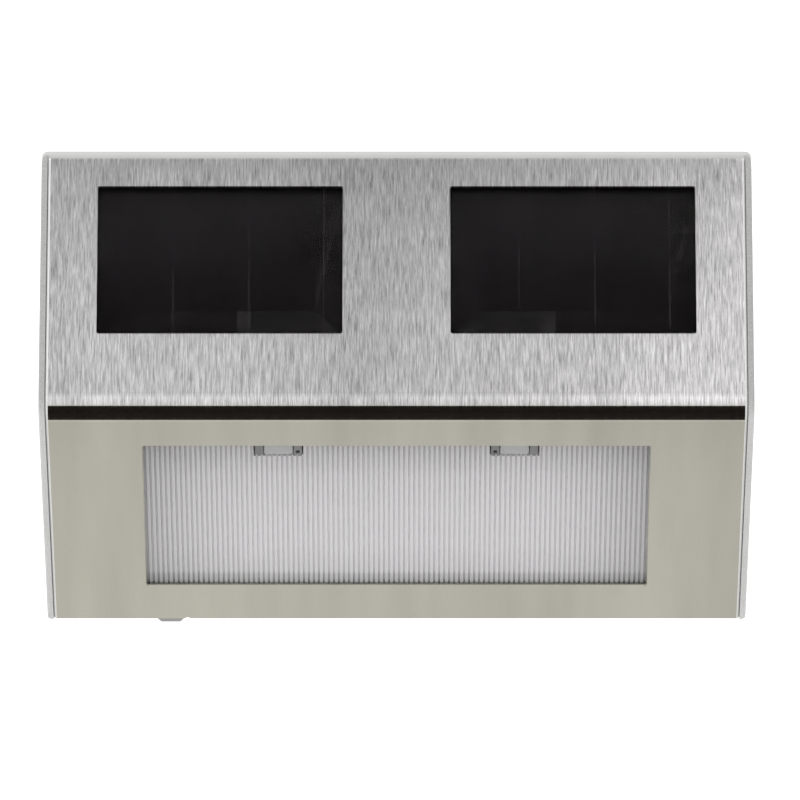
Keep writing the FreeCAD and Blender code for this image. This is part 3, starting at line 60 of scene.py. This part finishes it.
# Surroundings: shades from straight down (0) to straight up (1), and the brighter sides.
WORLD_SHADES = ((0.0, 0.80), (0.5, 0.85), (0.70, 1.0), (0.86, 1.10), (0.93, 0.82), (1.0, 0.90))
SIDE_FROM = 0.75
SIDE_FULL = 0.98
SIDE_GAIN = 1.6

# Soft lamp above the front left, in metres and watts.
KEY_PLACE = Vector((-0.5, -0.6, 1.3))
KEY_SIZE = (1.2, 0.8)
KEY_POWER = 6.0

# Places on the light that its materials refer to, in millimetres.
FOLD_DEPTH = 40.2
FOLD_Z = 11.2
FOLD_BLEND = 1.5
FOLD_FOOT = 8.0
FOLD_HEAD = 13.6
BEND_FOOT = 7.9
BEND_HEAD = 13.7
BEND_SOFT = 0.5
TOP_Z = 47.4
SHEET_HALF = 68.6
# Where the painted glint on the steel's side edges begins, and how softly it fades in.
EDGE_GLINT_FROM = 68.175
EDGE_GLINT_SOFT = 0.075
CHEEK_INSIDE = 68.75
CHEEK_OUTSIDE = 69.92
CHEEK_BACK = -1.5
SOLAR_LEFT = 10.6
SOLAR_WIDTH = 48.2
SCRIBED_LINES = (13.5, 28.4, 43.1)
LEFT_LINES_SHIFT = 1.4
SCRIBED_HALF = 0.1
SCREW_CROSSES = ((64.3, 36.0), (64.3, -38.0), (31.5, -4.0))
CROSS_ARM = 0.26
CROSS_REACH = 1.3
LOWER_NORMAL = (0.0, -0.9464, -0.3229)
LOWER_PLANE = 34.43
RIB_CROWN = -0.95
RIB_FLOOR = -1.3

# Painted shade and painted reflection along a direction: pairs of a place in millimetres and a factor, none
# above PROFILE_TOP.
PROFILE_TOP = 2.0
STEEL_REFLECTION_ACROSS = (
    (-SHEET_HALF, 1.36), (-48.0, 1.32), (-33.0, 1.25), (-17.0, 1.06),
    (0.0, 1.0), (30.0, 1.03), (46.0, 1.17), (SHEET_HALF, 1.28),
)
STEEL_REFLECTION_UP = ((8.0, 1.08), (24.0, 1.0), (38.0, 0.87), (TOP_Z, 0.72))
LENS_SHADE_UP = (
    (-37.6, 0.80), (-36.7, 0.72), (-35.2, 0.74), (-34.5, 0.92),
    (-27.0, 1.0), (-18.0, 1.0), (-8.0, 0.94), (1.0, 0.74),
)
LENS_SHADE_OUTWARD = ((28.0, 1.0), (39.0, 0.92), (44.0, 0.84), (49.8, 0.74))

# Bent metal inside the clear lamps, in millimetres in the lower slope's own directions.
LOWER_TILT = math.radians(108.84)
LAMP_X = 23.2
FRAME_LIFT = -1.25
ARCH_FOOT = -13.7
ARCH_INSIDE = 1.1
ARCH_OUTSIDE = 1.45
ARCH_WIDE = 1.25
ARCH_STEPS = 12
CUP_HALF = 0.55
CUP_FOOT = 0.2
CUP_HEAD = 0.9


# ---------------------------------------------------------------- shader helpers


def new_material(name):
    """An empty material with its output node and a principled shader."""
    material = bpy.data.materials.new(name)
    material.use_nodes = True
    tree = material.node_tree
    tree.nodes.clear()
    output = tree.nodes.new("ShaderNodeOutputMaterial")
    shader = tree.nodes.new("ShaderNodeBsdfPrincipled")
    tree.links.new(shader.outputs[0], output.inputs["Surface"])
    return material, tree, shader


def node(tree, kind, **settings):
    """A node whose properties are given by name."""
    item = tree.nodes.new(kind)
    for name, setting in settings.items():
        setattr(item, name, setting)
    return item


def place(tree):
    """Object coordinates in millimetres."""
    coordinates = node(tree, "ShaderNodeTexCoord")
    scaled = node(tree, "ShaderNodeVectorMath", operation="SCALE")
    scaled.inputs["Scale"].default_value = 1 / MM
    tree.links.new(coordinates.outputs["Object"], scaled.inputs[0])
    return scaled.outputs[0]


def stretch(tree, vector, factors):
    """A vector whose three parts are scaled, so that a texture runs long or short along them."""
    scaled = node(tree, "ShaderNodeVectorMath", operation="MULTIPLY")
    scaled.inputs[1].default_value = factors
    tree.links.new(vector, scaled.inputs[0])
    return scaled.outputs[0]


def axis(tree, vector, name):
    parts = node(tree, "ShaderNodeSeparateXYZ")
    tree.links.new(vector, parts.inputs[0])
    return parts.outputs[name]


def noise(tree, vector, scale, detail=2.0, roughness=0.5):
    texture = node(tree, "ShaderNodeTexNoise", noise_dimensions="3D")
    texture.inputs["Scale"].default_value = scale
    texture.inputs["Detail"].default_value = detail
    texture.inputs["Roughness"].default_value = roughness
    tree.links.new(vector, texture.inputs["Vector"])
    return texture.outputs["Fac"]


def spread(tree, value, low, high, new_low=0.0, new_high=1.0):
    """Maps a value's range low..high smoothly to new_low..new_high."""
    item = node(tree, "ShaderNodeMapRange", interpolation_type="SMOOTHSTEP")
    for name, number in zip(("From Min", "From Max", "To Min", "To Max"), (low, high, new_low, new_high)):
        item.inputs[name].default_value = number
    tree.links.new(value, item.inputs["Value"])
    return item.outputs["Result"]


def step_up(tree, value, where, soft):
    """0 before a place and 1 after it, with a soft edge."""
    return spread(tree, value, where - soft, where + soft)


def step_down(tree, value, where, soft):
    """1 before a place and 0 after it, with a soft edge."""
    return spread(tree, value, where - soft, where + soft, 1.0, 0.0)


def math_node(tree, operation, first, second=None):
    """One sum on numbers or sockets."""
    item = node(tree, "ShaderNodeMath", operation=operation)
    for index, value in enumerate((first, second)):
        if value is None:
            continue
        if isinstance(value, (int, float)):
            item.inputs[index].default_value = value
        else:
            tree.links.new(value, item.inputs[index])
    return item.outputs[0]


def multiply(tree, first, second):
    return math_node(tree, "MULTIPLY", first, second)


def distance_from(tree, value, where=0.0):
    """How far a value is from a place, without a sign."""
    return math_node(tree, "ABSOLUTE", math_node(tree, "SUBTRACT", value, where))


def swing(tree, texture, strength):
    """A texture's difference from its middle, times a strength."""
    return multiply(tree, math_node(tree, "SUBTRACT", texture, 0.5), strength)


def only_where(tree, mask, factor):
    """The factor where the mask is 1, and 1 where it is 0."""
    change = multiply(tree, mask, math_node(tree, "SUBTRACT", factor, 1.0))
    return math_node(tree, "ADD", change, 1.0)


def blend_colours(tree, factor, first, second):
    """A colour between two, each a tuple or a socket."""
    item = node(tree, "ShaderNodeMix", data_type="RGBA")
    tree.links.new(factor, item.inputs["Factor"])
    for socket, colour in zip((item.inputs[6], item.inputs[7]), (first, second)):
        if isinstance(colour, tuple):
            socket.default_value = (*colour, 1)
        else:
            tree.links.new(colour, socket)
    return item.outputs[2]


def profile(tree, value, stops):
    """A factor read off straight lines between (place, factor) pairs."""
    first, last = stops[0][0], stops[-1][0]
    curve = node(tree, "ShaderNodeFloatCurve")
    curve.mapping.extend = "HORIZONTAL"
    mapping = curve.mapping.curves[0]
    while len(mapping.points) < len(stops):
        mapping.points.new(0.5, 0.5)
    for point, (where, factor) in zip(mapping.points, stops):
        point.location = ((where - first) / (last - first), factor / PROFILE_TOP)
        point.handle_type = "VECTOR"
    curve.mapping.update()
    share = math_node(tree, "DIVIDE", math_node(tree, "SUBTRACT", value, first), last - first)
    tree.links.new(share, curve.inputs["Value"])
    return multiply(tree, curve.outputs[0], PROFILE_TOP)


def brighten(tree, colour, gain):
    """A colour, given as a socket, times a factor."""
    item = node(tree, "ShaderNodeVectorMath", operation="SCALE")
    tree.links.new(colour, item.inputs[0])
    tree.links.new(gain, item.inputs["Scale"])
    return item.outputs[0]


def bump(tree, shader, height, strength, distance):
    """Relief from a texture; the distance is in metres."""
    item = node(tree, "ShaderNodeBump")
    item.inputs["Strength"].default_value = strength
    item.inputs["Distance"].default_value = distance
    tree.links.new(height, item.inputs["Height"])
    tree.links.new(item.outputs[0], shader.inputs["Normal"])


def reopen(material):
    """A finished material's tree, its shader and what feeds the shader's colour."""
    tree = material.node_tree
    shader = next(item for item in tree.nodes if item.type == "BSDF_PRINCIPLED")
    return tree, shader, shader.inputs["Base Color"].links[0].from_socket


def shaded(colour, factor):
    return tuple(min(1.0, part * factor) for part in colour)


# ---------------------------------------------------------------- materials


def plastic(name, colour, rough, grain, depth=0.02, specular=0.5, patch=0.06):
    """Moulded or foamed: slight patches of shade, a fine grain, varied gloss."""
    material, tree, shader = new_material(name)
    where = place(tree)
    patches = noise(tree, where, 0.15, 3)
    fine = noise(tree, where, grain, 2)
    colour_out = blend_colours(tree, patches, shaded(colour, 1 - patch), shaded(colour, 1 + patch))
    tree.links.new(colour_out, shader.inputs["Base Color"])
    tree.links.new(spread(tree, fine, 0.3, 0.7, rough - 0.05, rough + 0.05), shader.inputs["Roughness"])
    shader.inputs["Specular IOR Level"].default_value = specular
    bump(tree, shader, fine, 0.3, depth * MM)
    return material


def housing_plastic(name, colour):
    """Moulded grey with painted shade on the narrow edges beside the steel: darker above the fold than
    below it.
    """
    material = plastic(name, colour, 0.42, 8.0)
    tree, shader, plain = reopen(material)
    where = place(tree)
    outward = distance_from(tree, axis(tree, where, "X"))
    beside_steel = step_up(tree, outward, CHEEK_INSIDE, 0.1)
    within_side = step_down(tree, outward, CHEEK_OUTSIDE, 0.04)
    in_front = step_down(tree, axis(tree, where, "Y"), CHEEK_BACK, 0.5)
    front_edge = multiply(tree, multiply(tree, beside_steel, within_side), in_front)
    # Painted shade: the front edges are painted lighter below the fold and darker above it, with a grain.
    shade = spread(tree, axis(tree, where, "Z"), FOLD_FOOT, FOLD_HEAD, 1.12, 0.70)
    grainy_painted_shade = math_node(tree, "ADD", shade, swing(tree, noise(tree, where, 3.0), 0.5))
    edges_with_painted_shade = brighten(tree, plain, only_where(tree, front_edge, grainy_painted_shade))
    tree.links.new(edges_with_painted_shade, shader.inputs["Base Color"])
    return material


def metal(name, colour, rough, streak=(1.0, 1.0, 1.0)):
    """Plated or drawn metal with faint streaks."""
    material, tree, shader = new_material(name)
    where = stretch(tree, place(tree), streak)
    lines = noise(tree, where, 4.0, 3)
    colour_out = blend_colours(tree, lines, shaded(colour, 0.88), shaded(colour, 1.1))
    tree.links.new(colour_out, shader.inputs["Base Color"])
    tree.links.new(spread(tree, lines, 0.3, 0.7, rough - 0.06, rough + 0.08), shader.inputs["Roughness"])
    shader.inputs["Metallic"].default_value = 1.0
    bump(tree, shader, lines, 0.15, 0.01 * MM)
    return material


def screw_metal(name, colour):
    """Plated steel with painted shade in each rear screw's head: a near-black cross where its cross-shaped
    hollow is.
    """
    material = metal(name, colour, 0.28)
    tree, shader, plain = reopen(material)
    where = place(tree)
    outward = distance_from(tree, axis(tree, where, "X"))
    height = axis(tree, where, "Z")
    painted_recess_shade = 0.0
    for x, z in SCREW_CROSSES:
        across = distance_from(tree, outward, x)
        up = distance_from(tree, height, z)
        arms = step_down(tree, math_node(tree, "MINIMUM", across, up), CROSS_ARM, 0.04)
        reach = step_down(tree, math_node(tree, "MAXIMUM", across, up), CROSS_REACH, 0.05)
        painted_recess_shade = math_node(tree, "MAXIMUM", painted_recess_shade, multiply(tree, arms, reach))
    # Painted shade: the crosses are painted near-black.
    crosses_painted_shade = blend_colours(tree, painted_recess_shade, plain, (0.03, 0.03, 0.03))
    tree.links.new(crosses_painted_shade, shader.inputs["Base Color"])
    return material


def brushed_steel(name):
    """Stainless face: brushed along the slopes, so it mirrors sharply up and down only; its colour carries
    a painted reflection and its side edges a painted glint.
    """
    material, tree, shader = new_material(name)
    where = place(tree)
    across = axis(tree, where, "X")
    height = axis(tree, where, "Z")
    upper = step_up(tree, height, FOLD_Z, FOLD_BLEND)
    fine = noise(tree, stretch(tree, where, (1.0, 0.07, 0.07)), 3.4, 4, 0.7)
    # Painted glint: the sheet's side edges are painted near-white and not metallic.
    edge_glint = step_up(tree, distance_from(tree, across), EDGE_GLINT_FROM, EDGE_GLINT_SOFT)
    face = brighten(tree, steel_shade(tree, across, height, upper), steel_streaks(tree, where, fine, upper))
    tree.links.new(blend_colours(tree, edge_glint, face, (0.85, 0.85, 0.84)), shader.inputs["Base Color"])
    tree.links.new(steel_roughness(tree, height, fine), shader.inputs["Roughness"])
    tree.links.new(spread(tree, edge_glint, 0.0, 1.0, 1.0, 0.0), shader.inputs["Metallic"])
    shader.inputs["Anisotropic"].default_value = 0.95
    shader.inputs["Anisotropic Rotation"].default_value = 0.25
    tangent = node(tree, "ShaderNodeTangent", direction_type="RADIAL", axis="X")
    tree.links.new(tangent.outputs[0], shader.inputs["Tangent"])
    bump(tree, shader, fine, 0.08, 0.004 * MM)
    return material


def steel_shade(tree, across, height, upper):
    """Painted reflection: neutral above the fold, warmer below it; the upper slope is painted brighter
    towards its ends and foot.
    """
    toward_right = spread(tree, across, -SHEET_HALF, SHEET_HALF)
    # Painted reflection: above the fold the steel is painted brighter towards the right.
    upper_shade = blend_colours(tree, toward_right, (0.42, 0.415, 0.42), (0.56, 0.55, 0.555))
    lower_shade = blend_colours(tree, toward_right, (0.52, 0.507, 0.44), (0.50, 0.485, 0.424))
    shade = blend_colours(tree, upper, lower_shade, upper_shade)
    shine = multiply(tree, profile(tree, across, STEEL_REFLECTION_ACROSS), profile(tree, height, STEEL_REFLECTION_UP))
    return brighten(tree, shade, only_where(tree, upper, shine))


def steel_streaks(tree, where, fine, upper):
    """Brushing lines, strong above the fold and faint below it, over slow waves."""
    broad = noise(tree, stretch(tree, where, (1.0, 0.12, 0.12)), 0.12, 2)
    streaks = swing(tree, fine, spread(tree, upper, 0.0, 1.0, 0.16, 2.5))
    return math_node(tree, "ADD", math_node(tree, "ADD", streaks, swing(tree, broad, 0.3)), 1.0)


def steel_roughness(tree, height, fine):
    """Satin, and smoother in the bend."""
    bend = multiply(
        tree, step_up(tree, height, BEND_FOOT, BEND_SOFT), step_down(tree, height, BEND_HEAD, BEND_SOFT)
    )
    satin = spread(tree, fine, 0.2, 0.8, 0.30, 0.40)
    return math_node(tree, "SUBTRACT", satin, multiply(tree, bend, 0.2))


def clear(name, colour, rough, ior, specular=0.5, share=1.0):
    """Clear glass or plastic with faint unevenness; the share is how much light passes."""
    material, tree, shader = new_material(name)
    wavy = noise(tree, place(tree), 0.4, 1)
    tint = blend_colours(tree, wavy, colour, shaded(colour, 0.97))
    tree.links.new(tint, shader.inputs["Base Color"])
    tree.links.new(spread(tree, wavy, 0.3, 0.7, rough, rough + 0.02), shader.inputs["Roughness"])
    shader.inputs["IOR"].default_value = ior
    shader.inputs["Specular IOR Level"].default_value = specular
    shader.inputs["Transmission Weight"].default_value = share
    return material


def ribbed_lens(name):
    """Frosted ribbed plate: painted light makes its grooves paler against their shadow, and painted shade
    makes its borders dimmer.
    """
    material, tree, shader = new_material(name)
    where = place(tree)
    depth = node(tree, "ShaderNodeVectorMath", operation="DOT_PRODUCT")
    depth.inputs[1].default_value = LOWER_NORMAL
    tree.links.new(where, depth.inputs[0])
    below = math_node(tree, "SUBTRACT", depth.outputs["Value"], LOWER_PLANE)
    crown = spread(tree, below, RIB_FLOOR, RIB_CROWN)
    cloudy = noise(tree, where, 0.3, 2)
    light = blend_colours(tree, cloudy, (0.72, 0.71, 0.725), (0.69, 0.68, 0.695))
    # Painted light: the groove floors are painted paler than the crowns.
    ribbed = blend_colours(tree, crown, (0.88, 0.87, 0.885), light)
    # Painted shade: dimmer towards the top, in a band near the foot and towards the sides.
    up_shade = profile(tree, axis(tree, where, "Z"), LENS_SHADE_UP)
    side_shade = profile(tree, distance_from(tree, axis(tree, where, "X")), LENS_SHADE_OUTWARD)
    dimmed = brighten(tree, ribbed, multiply(tree, up_shade, side_shade))
    tree.links.new(dimmed, shader.inputs["Base Color"])
    tree.links.new(spread(tree, cloudy, 0.3, 0.7, 0.3, 0.4), shader.inputs["Roughness"])
    shader.inputs["IOR"].default_value = 1.45
    shader.inputs["Transmission Weight"].default_value = 0.08
    return material


def cell_film(name):
    """Amorphous silicon on glass: near black, with thin scribed lines between the cells."""
    material, tree, shader = new_material(name)
    where = place(tree)
    across = axis(tree, where, "X")
    lines = 0.0
    for offset in SCRIBED_LINES:
        for centre in (SOLAR_LEFT + offset, offset + LEFT_LINES_SHIFT - SOLAR_LEFT - SOLAR_WIDTH):
            line = step_down(tree, distance_from(tree, across, centre), SCRIBED_HALF, 0.04)
            lines = math_node(tree, "MAXIMUM", lines, line)
    broken = spread(tree, noise(tree, stretch(tree, where, (0.1, 1, 1)), 1.4, 2), 0.35, 0.6, 0.25, 1.0)
    cloudy = noise(tree, where, 0.1, 2)
    dark = blend_colours(tree, cloudy, (0.0045, 0.0035, 0.004), (0.006, 0.0048, 0.0054))
    scribed = blend_colours(tree, multiply(tree, lines, broken), dark, (0.05, 0.045, 0.05))
    tree.links.new(scribed, shader.inputs["Base Color"])
    shader.inputs["Roughness"].default_value = 0.5
    shader.inputs["Specular IOR Level"].default_value = 0.0
    return material


def circuit_board(name):
    """Green solder mask over faint tracks."""
    material, tree, shader = new_material(name)
    where = place(tree)
    tracks = node(tree, "ShaderNodeTexBrick")
    tracks.inputs["Scale"].default_value = 0.35
    tree.links.new(where, tracks.inputs["Vector"])
    masked = blend_colours(tree, tracks.outputs["Fac"], (0.02, 0.13, 0.05), (0.05, 0.22, 0.09))
    tree.links.new(masked, shader.inputs["Base Color"])
    tree.links.new(spread(tree, noise(tree, where, 2, 2), 0.3, 0.7, 0.25, 0.4), shader.inputs["Roughness"])
    return material


def build_materials():
    """Every material by its slot's name."""
    looks = {
        "housing_grey": (housing_plastic, (0.52, 0.52, 0.515)),
        "steel": (brushed_steel,),
        "clear_glass": (clear, (0.93, 0.93, 0.93), 0.01, 1.12, 0.1),
        "cell_film": (cell_film,),
        "clear_plastic": (ribbed_lens,),
        "foam_black": (plastic, (0.02, 0.02, 0.02), 0.85, 14.0, 0.08, 0.2),
        "foam_white": (plastic, (0.72, 0.72, 0.70), 0.8, 14.0, 0.08, 0.2),
        "tray_white": (plastic, (0.84, 0.83, 0.84), 0.35, 5.0),
        "clip_dark": (plastic, (0.20, 0.195, 0.20), 0.4, 3.0, 0.02, 0.5, 0.2),
        "led_clear": (clear, (0.74, 0.74, 0.75), 0.05, 1.4, 0.5, 0.5),
        "tinned_wire": (metal, (0.72, 0.71, 0.69), 0.3, (1, 1, 0.1)),
        "board_green": (circuit_board,),
        "screw_steel": (screw_metal, (0.6, 0.59, 0.57)),
        "spring_steel": (metal, (0.6, 0.6, 0.58), 0.22, (0.1, 1, 1)),
        "cell_can": (metal, (0.68, 0.68, 0.69), 0.3, (0.1, 1, 1)),
        "cell_wrap": (plastic, (0.07, 0.27, 0.12), 0.2, 3.0, 0.01),
        "door_grey": (plastic, (0.48, 0.48, 0.475), 0.42, 8.0),
        "chip_black": (plastic, (0.02, 0.02, 0.022), 0.5, 10.0),
        "coil_dark": (plastic, (0.03, 0.03, 0.034), 0.5, 10.0),
        "capacitor_black": (plastic, (0.02, 0.02, 0.03), 0.3, 4.0),
        "base_brown": (plastic, (0.15, 0.085, 0.045), 0.6, 6.0),
        "knob_grey": (plastic, (0.40, 0.40, 0.395), 0.4, 8.0),
        "tape_grey": (plastic, (0.38, 0.38, 0.37), 0.7, 10.0),
    }
    return {name: maker(name, *settings) for name, (maker, *settings) in looks.items()}


def dress_nodes():
    """Gives each CAD piece the material of its slot."""
    materials = build_materials()
    for part in frame["record"]["subparts"]:
        mesh = frame["nodes"][part["node"]].data
        mesh.materials.clear()
        mesh.materials.append(materials[part["material_slot"]])


# ---------------------------------------------------------------- bent metal in the lamps


def on_lower_slope(x, along, lift):
    """A point given in the lower slope's own directions, in metres."""
    y = -FOLD_DEPTH + along * math.cos(LOWER_TILT) - lift * math.sin(LOWER_TILT)
    z = FOLD_Z + along * math.sin(LOWER_TILT) + lift * math.cos(LOWER_TILT)
    return Vector((x, y, z)) * MM


def lead_frame(name, centre_x):
    """The bent metal inside a clear lamp: an arch that opens downwards, with a small cup in it."""
    corners = []
    for radius in (ARCH_INSIDE, ARCH_OUTSIDE):
        for step in range(ARCH_STEPS + 1):
            angle = math.pi * step / ARCH_STEPS
            corners.append((radius * math.cos(angle) * ARCH_WIDE, radius * math.sin(angle)))
    ring = ARCH_STEPS + 1
    faces = [(step, step + 1, ring + step + 1, ring + step) for step in range(ARCH_STEPS)]
    cup = len(corners)
    corners += [(-CUP_HALF, CUP_FOOT), (CUP_HALF, CUP_FOOT), (CUP_HALF, CUP_HEAD), (-CUP_HALF, CUP_HEAD)]
    faces.append((cup, cup + 1, cup + 2, cup + 3))
    points = [on_lower_slope(centre_x + x, ARCH_FOOT + up, FRAME_LIFT) for x, up in corners]
    mesh = bpy.data.meshes.new(name)
    mesh.from_pydata(points, [], faces)
    mesh.materials.append(metal(name, (0.30, 0.29, 0.30), 0.4))
    item = bpy.data.objects.new(name, mesh)
    bpy.context.scene.collection.objects.link(item)
    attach(item, "light")


# ---------------------------------------------------------------- stage


def panel(name, centre, size, facing):
    """A flat card whose normal points the way given."""
    half_x, half_y = size[0] / 2, size[1] / 2
    mesh = bpy.data.meshes.new(name)
    corners = [(-half_x, -half_y, 0), (half_x, -half_y, 0), (half_x, half_y, 0), (-half_x, half_y, 0)]
    mesh.from_pydata(corners, [], [(0, 1, 2, 3)])
    item = bpy.data.objects.new(name, mesh)
    item.location = centre
    item.rotation_euler = Vector(facing).to_track_quat("Z", "Y").to_euler()
    bpy.context.scene.collection.objects.link(item)
    return item


def floor_material():
    """Pale floor: white to the camera, less so where the light's shadow falls."""
    material, tree, shader = new_material("floor")
    grain = noise(tree, place(tree), 0.02, 2)
    colour_out = blend_colours(tree, grain, (0.80, 0.80, 0.79), (0.83, 0.83, 0.82))
    tree.links.new(colour_out, shader.inputs["Base Color"])
    shader.inputs["Roughness"].default_value = 0.9
    shader.inputs["Specular IOR Level"].default_value = 0.0
    path = node(tree, "ShaderNodeLightPath")
    lift = multiply(tree, path.outputs["Is Camera Ray"], FLOOR_LIFT)
    shader.inputs["Emission Color"].default_value = (1, 1, 1, 1)
    tree.links.new(lift, shader.inputs["Emission Strength"])
    return material


def dark_material():
    """Near-black, faintly mottled card."""
    material, tree, shader = new_material("dark_card")
    mottled = noise(tree, place(tree), 0.01, 2)
    dark = blend_colours(tree, mottled, (0.017, 0.014, 0.013), (0.022, 0.018, 0.017))
    tree.links.new(dark, shader.inputs["Base Color"])
    shader.inputs["Roughness"].default_value = 0.9
    shader.inputs["Specular IOR Level"].default_value = 0.0
    return material


def glossy_only(card):
    """Leaves a card visible to mirrored rays only."""
    for ray in ("camera", "diffuse", "transmission", "volume_scatter", "shadow"):
        setattr(card, f"visible_{ray}", False)


def build_stage():
    """The floor, and a dark card in front of the fold that runs on along the floor."""
    floor = panel("floor", (0, FLOOR_BACK, FLOOR_Z), (FLOOR_SIDE, FLOOR_SIDE), (0, 0, 1))
    floor.data.materials.append(floor_material())
    shade = dark_material()
    fold_y, fold_z = -FOLD_DEPTH * MM, FOLD_Z * MM
    near = (fold_z - FLOOR_Z) / math.tan(math.radians(CARD_LOW))
    top = fold_z + CARD_AWAY * math.tan(math.radians(CARD_HIGH))
    upright_place = (0, fold_y - CARD_AWAY, (FLOOR_Z + top) / 2)
    flat_place = (0, fold_y - (near + CARD_AWAY) / 2, FLOOR_Z + CARD_ABOVE_FLOOR)
    cards = (
        panel("dark_card", upright_place, (CARD_WIDTH, top - FLOOR_Z), (0, 1, 0)),
        panel("dark_card_floor", flat_place, (CARD_WIDTH, CARD_AWAY - near), (0, 0, 1)),
    )
    for card in cards:
        card.data.materials.append(shade)
        glossy_only(card)


def build_world():
    """Soft pale surroundings, brighter at the sides and above the front, plain white to the camera."""
    world = bpy.data.worlds.new("studio")
    bpy.context.scene.world = world
    world.use_nodes = True
    tree = world.node_tree
    tree.nodes.clear()
    output = node(tree, "ShaderNodeOutputWorld")
    seen = node(tree, "ShaderNodeBackground")
    lit = node(tree, "ShaderNodeBackground")
    direction = node(tree, "ShaderNodeTexCoord").outputs["Generated"]
    ramp = shade_ramp(tree, WORLD_SHADES)
    rise = math_node(tree, "ADD", multiply(tree, axis(tree, direction, "Z"), 0.5), 0.5)
    tree.links.new(rise, ramp.inputs[0])
    sideways = distance_from(tree, axis(tree, direction, "X"))
    sides = spread(tree, sideways, SIDE_FROM, SIDE_FULL, 1.0, SIDE_GAIN)
    tree.links.new(brighten(tree, ramp.outputs[0], sides), lit.inputs["Color"])
    seen.inputs["Color"].default_value = (1, 1, 1, 1)
    path = node(tree, "ShaderNodeLightPath")
    mix = node(tree, "ShaderNodeMixShader")
    tree.links.new(path.outputs["Is Camera Ray"], mix.inputs[0])
    tree.links.new(lit.outputs[0], mix.inputs[1])
    tree.links.new(seen.outputs[0], mix.inputs[2])
    tree.links.new(mix.outputs[0], output.inputs["Surface"])


def shade_ramp(tree, shades):
    """A ramp of greys from pairs of a position and a shade."""
    ramp = node(tree, "ShaderNodeValToRGB")
    elements = ramp.color_ramp.elements
    while len(elements) < len(shades):
        elements.new(0.5)
    for element, (position, shade) in zip(elements, shades):
        element.position = position
        element.color = (shade, shade, shade, 1)
    return ramp


def build_light():
    """One soft lamp above the front left, to model the edges."""
    data = bpy.data.lights.new("soft_key", "AREA")
    data.shape = "RECTANGLE"
    data.size, data.size_y = KEY_SIZE
    data.energy = KEY_POWER
    lamp = bpy.data.objects.new("soft_key", data)
    lamp.location = KEY_PLACE
    lamp.visible_glossy = False
    lamp.rotation_euler = (-KEY_PLACE).to_track_quat("-Z", "Y").to_euler()
    bpy.context.scene.collection.objects.link(lamp)


def build_camera():
    """The main view, level from side to side."""
    data = bpy.data.cameras.new("photo_camera")
    data.lens = LENS
    data.sensor_width = SENSOR
    data.clip_end = FARTHEST
    camera = bpy.data.objects.new("photo_camera", data)
    tilt = math.radians(ELEVATION)
    camera.location = TARGET + DISTANCE * Vector((0, -math.cos(tilt), math.sin(tilt)))
    camera.rotation_euler = (math.pi / 2 - tilt, 0, 0)
    bpy.context.scene.collection.objects.link(camera)
    bpy.context.scene.camera = camera


dress_nodes()
lead_frame("lead_frame_left", -LAMP_X)
lead_frame("lead_frame_right", LAMP_X)
build_stage()
build_world()
build_light()
build_camera()
bpy.context.scene.view_settings.view_transform = "Standard"
